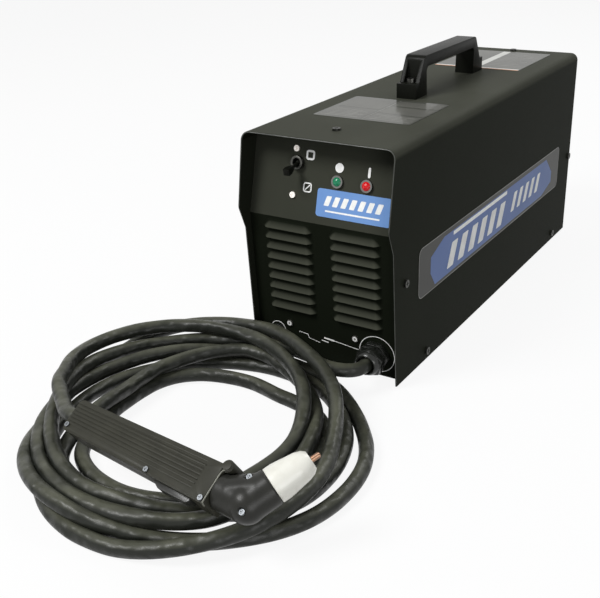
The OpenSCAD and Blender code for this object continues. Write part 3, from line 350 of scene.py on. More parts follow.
def powderCoat(name="powderCoat", paintInLight=paintLook["paintInLight"], lightSlopes=paintLook["lightSlopes"]):
    # Fine grained paint, painted paler on the faces that look up and darker on those that look aside or down:
    # painted light from above and painted shade below
    finish, tree, inputs = newFinish(name, paintInLight, paintLook["roughness"], level=paintLook["level"])
    where = place(tree)
    grain = grainCloud(tree, where, paintLook["grain"])
    patches = remap(tree, cloud(tree, where, paintLook["patches"]), broadBand)
    mottle = paintLook["mottle"]
    litColour = blendColour(tree, patches, scaled(paintInLight, 1 - mottle), scaled(paintInLight, 1 + mottle))
    colour = blendColour(tree, facingUp(tree, lightSlopes), paintLook["paintInShade"], litColour)
    bump = bumpFrom(tree, grain, paintLook["grainStrength"], paintLook["grainDepth"])
    tree.links.new(colour, inputs["Base Color"])
    tree.links.new(remap(tree, grain, fineBand, paintLook["roughnessSpan"]), inputs["Roughness"])
    tree.links.new(bump, inputs["Normal"])
    return finish


jacketLook = dict(
    colour=(0.018, 0.0195, 0.0155),
    # The next colour is a painted highlight along the top of the lead, broken into patches by a cloud
    paintedHighlight=(0.085, 0.087, 0.062),
    roughness=0.36,
    roughnessSpan=(0.31, 0.46),
    level=0.25,
    folds=34,
    foldStrength=0.9,
    foldDepth=0.008,
    grain=900,
    grainStrength=0.25,
    grainDepth=0.00008,
    paintedLight=26,
    highlightPatchBand=(0.36, 0.64),
    highlightPatchSpan=(0.35, 1),
    highlightSlopes=(0.55, 1.0),
)


def cordJacket():
    # A supple skin: slack folds across the lead over a fine matt grain, with a painted highlight along its
    # top
    finish, tree, inputs = newFinish("cordJacket", jacketLook["colour"], jacketLook["roughness"],
                                     level=jacketLook["level"])
    where = place(tree)
    folds = grainCloud(tree, where, jacketLook["folds"])
    grain = grainCloud(tree, where, jacketLook["grain"])
    # Painted highlight: the paler colour on the faces that look up, in patches
    paintedLight = remap(tree, cloud(tree, where, jacketLook["paintedLight"]),
                   jacketLook["highlightPatchBand"], jacketLook["highlightPatchSpan"])
    paintedHighlight = combine(tree, "MULTIPLY", paintedLight, facingUp(tree, jacketLook["highlightSlopes"]))
    creased = bumpFrom(tree, folds, jacketLook["foldStrength"], jacketLook["foldDepth"])
    bump = bumpFrom(tree, grain, jacketLook["grainStrength"], jacketLook["grainDepth"], creased)
    tree.links.new(blendColour(tree, paintedHighlight, jacketLook["colour"], jacketLook["paintedHighlight"]), inputs["Base Color"])
    tree.links.new(remap(tree, grain, fineBand, jacketLook["roughnessSpan"]), inputs["Roughness"])
    tree.links.new(bump, inputs["Normal"])
    return finish


cupLook = dict(
    colour=(0.78, 0.77, 0.70),
    shade=(0.64, 0.62, 0.54),
    roughness=0.38,
    coat=0.25,
    stains=90,
    stainBand=(0.5, 0.8),
    stainSpan=(0, 0.6),
    pores=1600,
    poreStrength=0.2,
    poreDepth=0.00005,
)


def ceramic():
    finish, tree, inputs = newFinish("ceramic", cupLook["colour"], cupLook["roughness"])
    where = place(tree)
    stain = remap(tree, cloud(tree, where, cupLook["stains"]), cupLook["stainBand"], cupLook["stainSpan"])
    pores = grainCloud(tree, where, cupLook["pores"])
    tree.links.new(blendColour(tree, stain, cupLook["colour"], cupLook["shade"]), inputs["Base Color"])
    tree.links.new(bumpFrom(tree, pores, cupLook["poreStrength"], cupLook["poreDepth"]), inputs["Normal"])
    inputs["Coat Weight"].default_value = cupLook["coat"]
    return finish


lensLook = dict(
    roughness=0.2,
    facets=700,
    facetBand=(0.1, 0.7),
    facetStrength=0.5,
    facetDepth=0.0006,
    coat=0.3,
    coatRoughness=0.05,
    level=0.2,
    glow=0.12,
)


def lampLens(name, colour, glow):
    # Moulded facets inside a clear coloured cap
    finish, tree, inputs = newFinish(name, colour, lensLook["roughness"], level=lensLook["level"])
    texture = tree.nodes.new("ShaderNodeTexVoronoi")
    texture.inputs["Scale"].default_value = lensLook["facets"]
    tree.links.new(place(tree), texture.inputs["Vector"])
    facets = texture.outputs["Distance"]
    factor = remap(tree, facets, lensLook["facetBand"])
    tree.links.new(blendColour(tree, factor, glow, colour), inputs["Base Color"])
    bump = bumpFrom(tree, facets, lensLook["facetStrength"], lensLook["facetDepth"])
    tree.links.new(bump, inputs["Normal"])
    inputs["Coat Weight"].default_value = lensLook["coat"]
    inputs["Coat Roughness"].default_value = lensLook["coatRoughness"]
    inputs["Emission Color"].default_value = (*glow, 1)
    inputs["Emission Strength"].default_value = lensLook["glow"]
    return finish


filmLook = dict(patches=22, ripples=60, rippleStrength=0.12, rippleDepth=0.0006, coatRoughness=0.06)


def filmFinish(name, colour, second, roughness=0.3, coat=0.6, level=0.5):
    finish, tree, inputs = newFinish(name, colour, roughness, level=level)
    where = place(tree)
    broad = remap(tree, cloud(tree, where, filmLook["patches"]), broadBand)
    ripple = grainCloud(tree, where, filmLook["ripples"])
    tree.links.new(blendColour(tree, broad, colour, second), inputs["Base Color"])
    bump = bumpFrom(tree, ripple, filmLook["rippleStrength"], filmLook["rippleDepth"])
    tree.links.new(bump, inputs["Normal"])
    inputs["Coat Weight"].default_value = coat
    inputs["Coat Roughness"].default_value = filmLook["coatRoughness"]
    return finish


boardLook = dict(
    base=(0.02, 0.12, 0.05),
    first=(0.015, 0.10, 0.045),
    second=(0.02, 0.13, 0.06),
    tracks=(0.08, 0.22, 0.10),
    trackWidth=0.03,
    scale=90,
    roughness=0.35,
    grain=500,
    grainStrength=0.3,
    grainDepth=0.0001,
)


def circuitBoard():
    finish, tree, inputs = newFinish("circuitBoard", boardLook["base"], boardLook["roughness"])
    where = place(tree)
    bricks = tree.nodes.new("ShaderNodeTexBrick")
    bricks.inputs["Scale"].default_value = boardLook["scale"]
    bricks.inputs["Mortar Size"].default_value = boardLook["trackWidth"]
    for socket, colour in (("Color1", "first"), ("Color2", "second"), ("Mortar", "tracks")):
        bricks.inputs[socket].default_value = (*boardLook[colour], 1)
    grain = cloud(tree, where, boardLook["grain"])
    bump = bumpFrom(tree, grain, boardLook["grainStrength"], boardLook["grainDepth"])
    tree.links.new(where, bricks.inputs["Vector"])
    tree.links.new(bricks.outputs["Color"], inputs["Base Color"])
    tree.links.new(bump, inputs["Normal"])
    return finish


plasticLooks = dict(
    blackPlastic=dict(colour=(0.0075, 0.008, 0.0062), roughness=0.33, level=0.06,
                      patches=40, grain=2200, grainDepth=0.00006, tint=0.15, strength=0.4),
    glossyNylon=dict(colour=(0.011, 0.012, 0.010), roughness=0.24, level=0.45,
                     patches=60, grain=1600, grainDepth=0.00004, tint=0.2, strength=0.25),
    torchPlastic=dict(colour=(0.033, 0.0325, 0.024), roughness=0.46, level=0.15,
                      patches=60, grain=1500, grainDepth=0.00007, tint=0.12, strength=0.4),
    headPlastic=dict(colour=(0.021, 0.021, 0.018), roughness=0.34, level=0.22,
                     patches=50, grain=1800, grainDepth=0.00005, tint=0.12, strength=0.3),
    triggerPlastic=dict(colour=(0.014, 0.0145, 0.012), roughness=0.36,
                        patches=60, grain=1500, tint=0.15),
    rubber=dict(colour=(0.02, 0.02, 0.018), roughness=0.72,
                patches=80, grain=700, grainDepth=0.0001, tint=0.25),
)
plastics = {name: speckled(name, **look) for name, look in plasticLooks.items()}

# One finish for each material slot of the record
finishes = dict(
    powder=powderCoat(),
    black_plastic=plastics["blackPlastic"],
    torch_plastic=plastics["torchPlastic"],
    head_plastic=plastics["headPlastic"],
    rubber=plastics["rubber"],
    cord_jacket=cordJacket(),
    zinc_steel=metal("zincSteel", (0.62, 0.61, 0.57), 0.32),
    dark_steel=metal("darkSteel", (0.085, 0.085, 0.078), 0.38),
    aluminium=metal("aluminium", (0.70, 0.71, 0.70), 0.34, (1, 12, 1)),
    black_aluminium=metal("blackAluminium", (0.045, 0.045, 0.048), 0.45, (1, 10, 1)),
    brass=metal("brass", (0.62, 0.47, 0.20), 0.33),
    copper=speckled("copper", (0.36, 0.205, 0.13), 0.34, metallic=1.0, patches=120, grain=700,
                    grainDepth=0.00004, tint=0.18, second=(0.25, 0.155, 0.11)),  # darkened by heat
    ceramic=ceramic(),
    green_lens=lampLens("greenLens", (0.003, 0.13, 0.055), (0.01, 0.26, 0.12)),
    red_lens=lampLens("redLens", (0.50, 0.003, 0.006), (0.75, 0.01, 0.015)),
    blue_film=filmFinish("blueFilm", (0.17, 0.32, 0.64), (0.15, 0.29, 0.60), 0.35, 0.1, 0.2),
    dark_film=filmFinish("darkFilm", (0.040, 0.040, 0.036), (0.034, 0.034, 0.031), 0.4, 0.05, 0.12),
    clear_film=filmFinish("clearFilm", (0.075, 0.077, 0.064), (0.06, 0.062, 0.052), 0.3, 0.36, 0.1),
    green_board=circuitBoard(),
    blue_sleeve=filmFinish("blueSleeve", (0.03, 0.06, 0.20), (0.04, 0.08, 0.26)),
    blue_hose=speckled("blueHose", (0.03, 0.10, 0.30), 0.4, patches=60, grain=600, tint=0.15),
)
# Nodes that differ from the rest of their slot
ownFinishes = dict(
    torch_screws=metal("dullZinc", (0.16, 0.17, 0.18), 0.42),
    switch_screws=metal("brightZinc", (0.92, 0.88, 0.84), 0.6),
    cover_screws=metal("blackZinc", (0.055, 0.056, 0.05), 0.4),
    lamp_bezels=metal("bezelChrome", (0.22, 0.22, 0.21), 0.25),
)
for part in frame["record"]["subparts"]:
    materials = nodes[part["node"]].data.materials
    materials.clear()
    materials.append(ownFinishes.get(part["node"], finishes[part["material_slot"]]))
print("finishes made:", len(finishes))

torchLead = dict(
    diameter=14,
    start=[(57, -263.2, 28.3), (57, -270, 28.2), (55.4, -279, 28.8), (51, -287, 29.9), (44.2, -293, 31.2),
           (36, -296.4, 32.3), (27, -296.8, 33), (18.5, -294, 33.3), (11, -289.5, 33.4)],
    coilMiddle=(-32, -428),
    firstAngle=75,  # degrees from straight right, seen from above
    perTurn=12,
    lanes=[  # how far out each turn lies, at every twelfth of it
        [147, 160, 166, 156, 129, 118, 115, 115, 120, 134, 137, 138],
        [141, 142, 139, 135, 128, 127, 141, 152, 157, 148, 131, 131],
        [137, 168, 186, 166, 143, 142, 142, 138, 146, 158, 158, 151],
        [157, 158, 147, 145, 137, 130, 128, 130, 137, 120, 110, 114],
        [126, 142, 122, 96, 94, 112, 108, 114, 106, 114, 118, 118],
        [104, 112, 116, 98, 90, 95, 92, 91, 90, 84, 95, 104],
        [121, 150, 173, 165, 127],
    ],
    levels=[  # and how high its middle is over the floor
        [33, 24, 22, 27, 32, 25, 21, 20, 14, 7, 7, 8],
        [8, 7, 8, 8, 7, 7, 7, 7, 17, 23, 24, 37],
        [45, 38, 27, 8, 7, 15, 22, 11, 7, 7, 7, 7],
        [7, 10, 20, 18, 19, 19, 20, 20, 22, 23, 19, 18],
        [19, 23, 21, 21, 21, 8, 7, 7, 7, 7, 7, 7],
        [7, 7, 7, 7, 7, 7, 7, 7, 7, 8, 18, 30],
        [34, 36, 37, 39, 45],
    ],
    end=[(-119, -489, 46.4), (-104, -498.3, 48.4), (-84.5, -503.9, 50.4), (-72, -505.5, 50.4)],
    stepsBetween=3,
    smoothSteps=6,
    ringGap=3.2,
    sides=24,
    cores=3,
    lay=0.14,  # metres for one full twist of the cores
    body=0.968,  # shares of the radius: the round body, the slack of the skin and the twist
    slack=0.06,
    twist=0.032,
    slackAround=0.8,
    slackAlong=30,
)


def leadRoute():
    lanes = [reach for turn in torchLead["lanes"] for reach in turn]
    levels = [height for turn in torchLead["levels"] for height in turn]
    last = len(lanes) - 1
    steps = torchLead["stepsBetween"]
    middle = Vector((*torchLead["coilMiddle"], 0))
    route = [Vector(p) for p in torchLead["start"]]
    for i in range(last * steps + 1):
        at = min(i // steps, last - 1)
        part = i / steps - at
        near = [max(at - 1, 0), at, at + 1, min(at + 2, last)]
        reach = catmull(*[lanes[n] for n in near], part)
        height = max(catmull(*[levels[n] for n in near], part), torchLead["diameter"] / 2)
        angle = math.radians(torchLead["firstAngle"] + 360 / torchLead["perTurn"] * i / steps)
        route.append(middle + Vector((reach * math.cos(angle), reach * math.sin(angle), height)))
    route += [Vector(p) for p in torchLead["end"]]
    return [p * mm for p in smoothPath(route, torchLead["smoothSteps"])]


def makeTorchLead():
    path = evenly(leadRoute(), torchLead["ringGap"] * mm)
    radius = torchLead["diameter"] / 2 * mm

    def skin(i, angle):
        # The cores inside are laid in a twist, which shows through the slack jacket
        along = i * torchLead["ringGap"] * mm
        around = torchLead["slackAround"]
        slack = noise.noise(Vector((math.cos(angle) * around, math.sin(angle) * around,
                                    along * torchLead["slackAlong"])))
        twist = math.cos(torchLead["cores"] * angle - 2 * math.pi * along / torchLead["lay"])
        return radius * (torchLead["body"] + torchLead["slack"] * slack + torchLead["twist"] * twist)

    points, faces = tubeMesh(path, skin, torchLead["sides"])
    lead = meshPiece("torchLead", points, faces, finishes["cord_jacket"], sharpAngle=80)
    link(lead, "case", "cord_jacket", "torch_lead", "torch_lead_coil", "torch_lead_tail")


makeTorchLead()

torch = dict(
    at=(-85.5, -511.7, 62),  # rear end of the upper face
    turn=-7.2,
    roll=34,
    length=164,
    frontHeight=33,
    thickness=28,
    headX=188.3,
    headAngle=64,
    headLean=-6,
    headRadius=14.6,
)
torchSpace = (Matrix.Translation(Vector(torch["at"]) * mm)
              @ Matrix.Rotation(math.radians(torch["turn"]), 4, "Z")
              @ Matrix.Rotation(math.radians(torch["roll"]), 4, "X")
              @ Matrix.Translation((0, 0, -torch["thickness"] / 2 * mm)))
headSpace = (torchSpace @ Matrix.Translation((torch["headX"] * mm, 0, 0))
             @ Matrix.Rotation(math.radians(torch["headLean"]), 4, "X")
             @ Matrix.Rotation(math.radians(torch["headAngle"]), 4, "Z")
             @ Matrix.Rotation(math.radians(90), 4, "Y"))

# Copies of nodes with their edges rounded: width of the rounding in mm, its steps and its least angle
torchEdges = dict(
    torchUpperShell=("torch_shell_upper", 0.6, 2, 25),
    torchLowerShell=("torch_shell_lower", 0.6, 2, 25),
)
elbow = dict(voxel=0.6, rounds=26)


def makeTorch():
    for name, (node, *edge) in torchEdges.items():
        link(softened(name, node, finishes["torch_plastic"], *edge), "case", "torch_plastic", node)
    head = moulded("torchElbow", "torch_head", finishes["head_plastic"], elbow["voxel"], elbow["rounds"])
    link(head, "case", "head_plastic", "torch_head")
    trigger = softened("triggerBar", "torch_trigger", plastics["triggerPlastic"], 0.9, 3)
    link(trigger, "trigger", "torch_plastic", "torch_trigger")


ribs = dict(
    count=7,
    first=-8,
    gap=3.1,
    spread=0.0013,  # they fan out a little towards the head
    start=0.8,
    stop=148.5,
    width=1.9,
    height=0.5,
    sunk=0.08,
    runOut=1.5,
    section=[(-1, 0), (-0.7, 0.75), (-0.3, 1), (0.3, 1), (0.7, 0.75), (1, 0)],  # shares of half width, height
)


def makeGripRibs():
    # Fine raised ribs run the whole length of the upper face
    top = torch["thickness"] / 2 - ribs["sunk"]
    half = ribs["width"] / 2
    stations = [(ribs["start"], 0.05), (ribs["start"] + ribs["runOut"], 1),
                (ribs["stop"] - ribs["runOut"], 1), (ribs["stop"], 0.05)]
    n = len(ribs["section"])
    points, faces = [], []
    for k in range(ribs["count"]):
        middle = ribs["first"] + k * ribs["gap"]
        base = len(points)
        for along, rise in stations:
            for across, up in ribs["section"]:
                aside = middle * (1 + along * ribs["spread"]) + half * across
                height = top + ribs["height"] * up * rise
                points.append(torchSpace @ (Vector((along, aside, height)) * mm))
        for i in range(len(stations) - 1):
            for j in range(n - 1):
                a = base + i * n + j
                faces.append((a, a + 1, a + n + 1, a + n))
    piece = meshPiece("gripRibs", points, faces, finishes["torch_plastic"], sharpAngle=60)
    link(piece, "case", "torch_plastic")


shellLip = dict(
    radius=0.62,
    sides=10,
    steps=8,
    near=1.2,  # how far in from the shell's two sides it starts and ends
    far=6,
    colour=(0.16, 0.16, 0.13),
)


def makeShellLip():
    # The thin rolled edge where the upper shell meets the head, painted paler as a highlight
    near = -torch["frontHeight"] / 2 + shellLip["near"]
    far = torch["frontHeight"] / 2 - shellLip["far"]
    end = Vector((torch["length"], 0, torch["thickness"] / 2))
    route = [(-0.5, near - 1.2, -5), (-0.4, near - 0.6, -1.6), (-0.4, near + 1.5, -0.5), (-0.4, 0, -0.5),
             (-0.2, far - 1, -0.5), (2, far + 2.6, -1.2), (5.4, far + 5.2, -3)]
    path = [torchSpace @ ((end + p) * mm) for p in smoothPath(route, shellLip["steps"])]
    points, faces = tubeMesh(path, lambda i, angle: shellLip["radius"] * mm, shellLip["sides"])
    # A painted highlight along the lip, paler than the shell
    paintedLight = speckled("lipHighlight", shellLip["colour"], 0.4, patches=90, grain=900, tint=0.3)
    link(meshPiece("shellLip", points, faces, paintedLight), "case", "torch_plastic")


cup = dict(
    start=22.3,
    length=33,
    clearance=0.5,  # how much thinner than the head
    sides=72,
    body=[(0, 5), (0, 0.5), (0.5, 0), (6.5, 0), (11, 0.5), (16, 1.3), (22, 2.1), (25, 2.6), (30, 4.2)],
    mouth=[(0.8, 8.1), (0, 7.3), (0, 4.3), (0.5, 3.9), (3.5, 3.9)],
)


def makeCup():
    # body lists how far along and how far in from the widest, mouth how far back and the radius
    widest = torch["headRadius"] - cup["clearance"]
    profile = [(along, widest - inwards) for along, inwards in cup["body"]]
    profile += [(cup["length"] - back, radius) for back, radius in cup["mouth"]]
    sides = cup["sides"]
    points = []
    for along, radius in profile:
        for k in range(sides):
            angle = 2 * math.pi * k / sides
            spot = Vector((radius * math.cos(angle), radius * math.sin(angle), cup["start"] + along))
            points.append(headSpace @ (spot * mm))
    last = len(profile) - 1
    faces = []
    for i in range(last):
        for k in range(sides):
            m = (k + 1) % sides
            faces.append((i * sides + k, i * sides + m, (i + 1) * sides + m, (i + 1) * sides + k))
    faces.append(tuple(range(sides)))
    faces.append(tuple(last * sides + k for k in range(sides)))
    piece = meshPiece("ceramicCup", points, faces, finishes["ceramic"], sharpAngle=40)
    link(piece, "cup", "ceramic", "shield_cup")


makeTorch()
makeGripRibs()
makeShellLip()
makeCup()
print("torch made")


def faceFrame(foot, top):
    # Right, up and outward directions of a leaning front face, from its foot
    start = Vector((0, *foot)) * mm
    up = (Vector((0, *top)) * mm - start).normalized()
    right = Vector((1, 0, 0))
    return start, right, up, right.cross(up)


halfWidth = case["width"] / 2
surfaces = dict(
    upper=faceFrame(upperFace["foot"], upperFace["top"]),
    lower=faceFrame(lowerFace["foot"], lowerFace["top"]),
    right=(Vector((halfWidth, 0, 0)) * mm, Vector((0, 1, 0)), Vector((0, 0, 1)), Vector((1, 0, 0))),
    left=(Vector((-halfWidth, 0, 0)) * mm, Vector((0, -1, 0)), Vector((0, 0, 1)), Vector((-1, 0, 0))),
    top=(Vector((0, 0, case["height"])) * mm, Vector((1, 0, 0)), Vector((0, 1, 0)), Vector((0, 0, 1))),
)

caseEdges = [
    ("carryGrip", "carry_handle", "case", "black_plastic", plastics["blackPlastic"], 1.6, 4, 30),
    ("glandNut", "torch_gland", "case", "black_plastic", plastics["glossyNylon"], 0.5, 2, 35),
    ("workGlandNut", "work_gland", "case", "black_plastic", plastics["glossyNylon"], 0.3, 2, 35),
    ("switchNut", "switch_collar", "case", "dark_steel", finishes["dark_steel"], 0.4, 2, 35),
    ("switchPaddle", "switch_lever", "lever", "black_plastic", plastics["blackPlastic"], 0.5, 3, 30),
]


def makeCaseParts():
    for name, node, body, slot, finish, *edge in caseEdges:
        link(softened(name, node, finish, *edge), body, slot, node)


louvres = dict(
    count=9,
    across=57.4,
    middle=37,  # from the panel's middle to the middle of a column
    height=8.2,
    out=5,
    top=140.47,
    gap=10.9,
    endSlope=5.5,
    endRise=6.5,
    swell=1.6,
    wall=0.8,
    sunk=0.15,
    margin=0.8,
    columns=36,
    rows=9,
    clearOfSheet=0.3,
    sheetTop=151,
    paintInLight=(0.076, 0.079, 0.060),
    lightSlopes=(0.34, 0.84),
)


def hoodGrid(column, index):
    # One hood: it leaves the sheet softly at its top and swells towards its lip
    start, right, up, out = surfaces["lower"]
    columns, rows, sunk, margin = (louvres[k] for k in ("columns", "rows", "sunk", "margin"))
    lip = louvres["top"] - index * louvres["gap"]
    points = []
    for level in (0, louvres["wall"]):
        for r in range(rows + 1):
            down = r / rows
            half = louvres["across"] / 2 - louvres["endSlope"] * (1 - down)
            height = lip + (louvres["height"] + margin) * (1 - down)
            for c in range(columns + 1):
                x = (half + margin) * (2 * c / columns - 1)
                rise = min(max((half - abs(x)) / louvres["endRise"], 0), 1)
                rise = rise * rise * (3 - 2 * rise)
                stand = (louvres["out"] + sunk) * down ** louvres["swell"] * rise - sunk - level
                across = column * louvres["middle"] + x
                points.append(start + (right * across + up * height + out * stand) * mm)
    wide = columns + 1
    back = wide * (rows + 1)
    faces = []
    for r in range(rows):
        for c in range(columns):
            a = r * wide + c
            faces.append((a, a + 1, a + wide + 1, a + wide))
            faces.append((back + a, back + a + wide, back + a + wide + 1, back + a + 1))
    rim = ([(c, c + 1) for c in range(columns)]
           + [(r * wide + columns, (r + 1) * wide + columns) for r in range(rows)]
           + [(rows * wide + c + 1, rows * wide + c) for c in range(columns)]
           + [((r + 1) * wide, r * wide) for r in range(rows)])
    faces += [(b, a, back + a, back + b) for a, b in rim]
    return points, faces


def makeFrontPanel():
    # The sheet is kept, its flat-sided hoods give way to pressed ones
    start, _, up, out = surfaces["lower"]
    data = nodes["front_panel"].data.copy()
    work = bmesh.new()
    work.from_mesh(data)
    proud = {v for v in work.verts
             if (v.co - start).dot(out) > louvres["clearOfSheet"] * mm
             and (v.co - start).dot(up) < louvres["sheetTop"] * mm}
    hoods = [f for f in work.faces if any(v in proud for v in f.verts)]
    bmesh.ops.delete(work, geom=hoods, context="FACES")
    work.to_mesh(data)
    work.free()
    data.materials.clear()
    data.materials.append(finishes["powder"])
    data.shade_smooth()
    data.set_sharp_from_angle(angle=math.radians(30))
    link(bpy.data.objects.new("frontSheet", data), "case", "powder", "front_panel")
    points, faces = [], []
    for column in (-1, 1):
        for index in range(louvres["count"]):
            more, joined = hoodGrid(column, index)
            faces += [tuple(len(points) + k for k in face) for face in joined]
            points += more
    # The hoods are painted paler where they look up and darker lower down: painted light from above and
    # painted shade below
    pressed = powderCoat("pressedPaint", louvres["paintInLight"], louvres["lightSlopes"])
    link(meshPiece("louvreHoods", points, faces, pressed, sharpAngle=50), "case", "powder")


visorEdge = dict(
    radius=0.5,
    inset=0.75,
    sides=8,
    step=2,
    jaw=[(-252.2, 4), (-259.9, 143), (-268.4, 164.3), (-269.1, 166.6)],  # y and z up to the nose
    nose=(-269.5, 166.5),
    brow=(-257.5, 240),
    heights=(169, 190, 210, 225),
    cornerSteps=8,
    colour=(0.042, 0.045, 0.038),
)


def makeVisorEdge():
    # The bare edge of the cover, painted paler as a highlight where it frames the front
    reach = halfWidth - visorEdge["inset"]
    corner = case["cornerRadius"] - visorEdge["inset"]
    nose, brow = visorEdge["nose"], visorEdge["brow"]
    slope = (brow[0] - nose[0]) / (brow[1] - nose[1])
    half = [(reach, y, z) for y, z in visorEdge["jaw"]]
    half += [(reach, nose[0] + slope * (z - nose[1]), z) for z in visorEdge["heights"]]
    for k in range(visorEdge["cornerSteps"] + 1):
        angle = math.radians(90 * k / visorEdge["cornerSteps"])
        z = case["height"] - case["cornerRadius"] + corner * math.sin(angle)
        half.append((reach - corner + corner * math.cos(angle), nose[0] + slope * (z - nose[1]), z))
    whole = half + [(-x, y, z) for x, y, z in reversed(half)]
    path = evenly([Vector(p) * mm for p in whole], visorEdge["step"] * mm)
    points, faces = tubeMesh(path, lambda i, angle: visorEdge["radius"] * mm, visorEdge["sides"])
    # A painted highlight along the edge, paler than the paint
    paintedHighlight = speckled("edgeHighlight", visorEdge["colour"], 0.4, patches=60, grain=900, tint=0.35)
    link(meshPiece("visorEdge", points, faces, paintedHighlight), "case", "powder")


makeCaseParts()
makeFrontPanel()
makeVisorEdge()
print("case made")

inkThickness = 0.05
lifts = dict(paint=0.02, film=0.31, label=0.32, overInk=0.37, screw=1.6)  # mm out from the face


def printed(name, surface, shapes, finish, slot, lift):
    # Thin inked shapes on a face: each is a list of points in mm, or a pair of lists where it has a hole
    start, right, up, out = surfaces[surface]
    points, faces = [], []
    for shape in shapes:
        outer, inner = shape if isinstance(shape, tuple) else (shape, None)
        lines = (outer, inner) if inner else (outer,)
        n = len(outer)
        base = len(points)
        top = base + len(lines) * n
        for level in (lifts[lift], lifts[lift] + inkThickness):
            for line in lines:
                points += [start + (right * x + up * y + out * level) * mm for x, y in line]
        for r in range(len(lines)):
            a, b = base + r * n, top + r * n
            faces += [(a + k, a + (k + 1) % n, b + (k + 1) % n, b + k) for k in range(n)]
        for first in (top, base):
            if inner:
                faces += [(first + k, first + (k + 1) % n, first + n + (k + 1) % n, first + n + k)
                          for k in range(n)]
            else:
                faces.append(tuple(first + k for k in range(n)))
    link(meshPiece(name, points, faces, finish, smooth=False), "case", slot)


def circle(x, y, radius, steps=48):
    angles = [2 * math.pi * k / steps for k in range(steps)]
    return [(x + radius * math.cos(angle), y + radius * math.sin(angle)) for angle in angles]


def ring(x, y, radius, width):
    return circle(x, y, radius + width / 2, 64), circle(x, y, radius - width / 2, 64)


def roundedBox(x, y, width, height, radius, lean=0.0, steps=6):
    # lean moves the top edge to the right, as a share of the height
    points = []
    for cx, cy, first in ((1, 1, 0), (-1, 1, 90), (-1, -1, 180), (1, -1, 270)):
        for k in range(steps + 1):
            angle = math.radians(first + 90 * k / steps)
            px = cx * (width / 2 - radius) + radius * math.cos(angle)
            py = cy * (height / 2 - radius) + radius * math.sin(angle)
            points.append((x + px + lean * py, y + py))
    return points


def frameBox(x, y, width, height, radius, line):
    return (roundedBox(x, y, width, height, radius),
            roundedBox(x, y, width - 2 * line, height - 2 * line, max(radius - line, 0.3)))


def bar(a, b, width):
    a, b = Vector(a), Vector(b)
    along = (b - a).normalized()
    aside = Vector((-along.y, along.x)) * width / 2
    return [tuple(a + aside), tuple(a - aside), tuple(b - aside), tuple(b + aside)]


def leaningStrokes(count, x, gap, y, width, height, radius, lean):
    return [roundedBox(x + k * gap, y, width, height, radius, lean) for k in range(count)]


inks = dict(
    white=speckled("whiteInk", (0.90, 0.90, 0.88), 0.45, patches=200, grain=1500, tint=0.06),
    silver=speckled("silverInk", (0.82, 0.82, 0.80), 0.45, patches=60, grain=900, tint=0.08),
    orange=speckled("orangeInk", (0.55, 0.20, 0.06), 0.4, patches=80, grain=900, tint=0.1),
    blue=filmFinish("blueInk", (0.10, 0.165, 0.37), (0.115, 0.18, 0.40), 0.4, 0.05, 0.1),
    pale=filmFinish("paleInk", (0.60, 0.60, 0.56), (0.52, 0.52, 0.48), 0.3, 0.3, 0.2),
    mist=filmFinish("mistInk", (0.23, 0.23, 0.21), (0.18, 0.18, 0.16), 0.35, 0.25, 0.1),
    grey=filmFinish("greyInk", (0.115, 0.115, 0.10), (0.09, 0.09, 0.08), 0.35, 0.25, 0.1),
)

# Places and sizes of the prints are in mm, across and up from the foot of their face
frontPrints = dict(
    switchBoxes=[(-17.7, 63.4, 9.4, 9.4, 2.6, 2.0), (-17.8, 32.8, 9.4, 9.4, 2.6, 1.3)],
    slash=((-20.4, 30.2), (-15.2, 35.4), 1.2),
    lampDot=(14.7, 55.3, 4.5),
    lampStroke=(46.3, 54.7, 2.6, 9.6, 1.3),
    labelStrokes=dict(count=7, x=6, gap=9.1, y=23.2, width=5.4, height=9.5, radius=0.8, lean=0.32),
    labelLine=(33, 13.6, 58, 1.6, 0.6),
    glandRings=[(57, 23.3, 19.3, 0.7), (-58, 24.8, 8.5, 0.7)],
    circuit=[((-33, 27.5), (-22, 26.4), 0.6), ((-22, 26.4), (-21, 22.5), 0.6),
             ((-21, 22.5), (-8, 20), 0.6), ((-3, 27), (9, 26), 1.8), ((9, 26), (37, 23), 0.7),
             ((-6, 23.5), (2, 22.6), 1.0)],
    screwRings=[(-43, 35, 1.9, 1.3), (33.5, 35, 1.9, 1.3)],
)


def makeFrontPrints():
    white = inks["white"]
    marks = [frameBox(*box) for box in frontPrints["switchBoxes"]] + [bar(*frontPrints["slash"])]
    printed("switchMarks", "upper", marks, white, "zinc_steel", "paint")
    marks = [circle(*frontPrints["lampDot"]), roundedBox(*frontPrints["lampStroke"])]
    printed("lampMarks", "upper", marks, white, "zinc_steel", "paint")
    marks = leaningStrokes(**frontPrints["labelStrokes"]) + [roundedBox(*frontPrints["labelLine"])]
    printed("labelStrokes", "upper", marks, white, "blue_film", "label")
    marks = [ring(*line) for line in frontPrints["glandRings"]]
    marks += [bar(*line) for line in frontPrints["circuit"]]
    printed("circuitMarks", "lower", marks, white, "zinc_steel", "paint")
    marks = [ring(*line) for line in frontPrints["screwRings"]]
    printed("rivetRims", "lower", marks, white, "zinc_steel", "screw")


sidePrints = dict(
    band=[(-170, 80.5), (148, 80.5), (181, 90), (181, 103),
          (158, 124.5), (-150, 124.5), (-181, 113), (-181, 96)],
    tallStrokes=dict(count=6, x=-128, gap=27, y=99, width=15, height=26, radius=1.5, lean=0.45),
    shortStrokes=dict(count=5, x=48, gap=20, y=103, width=10, height=22, radius=1.5, lean=0.45),
    line=(-52, 121, 150, 4.2, 1),
    rim=(0, 103.5, 415.6, 53.1, 7.8, 0.7),
)


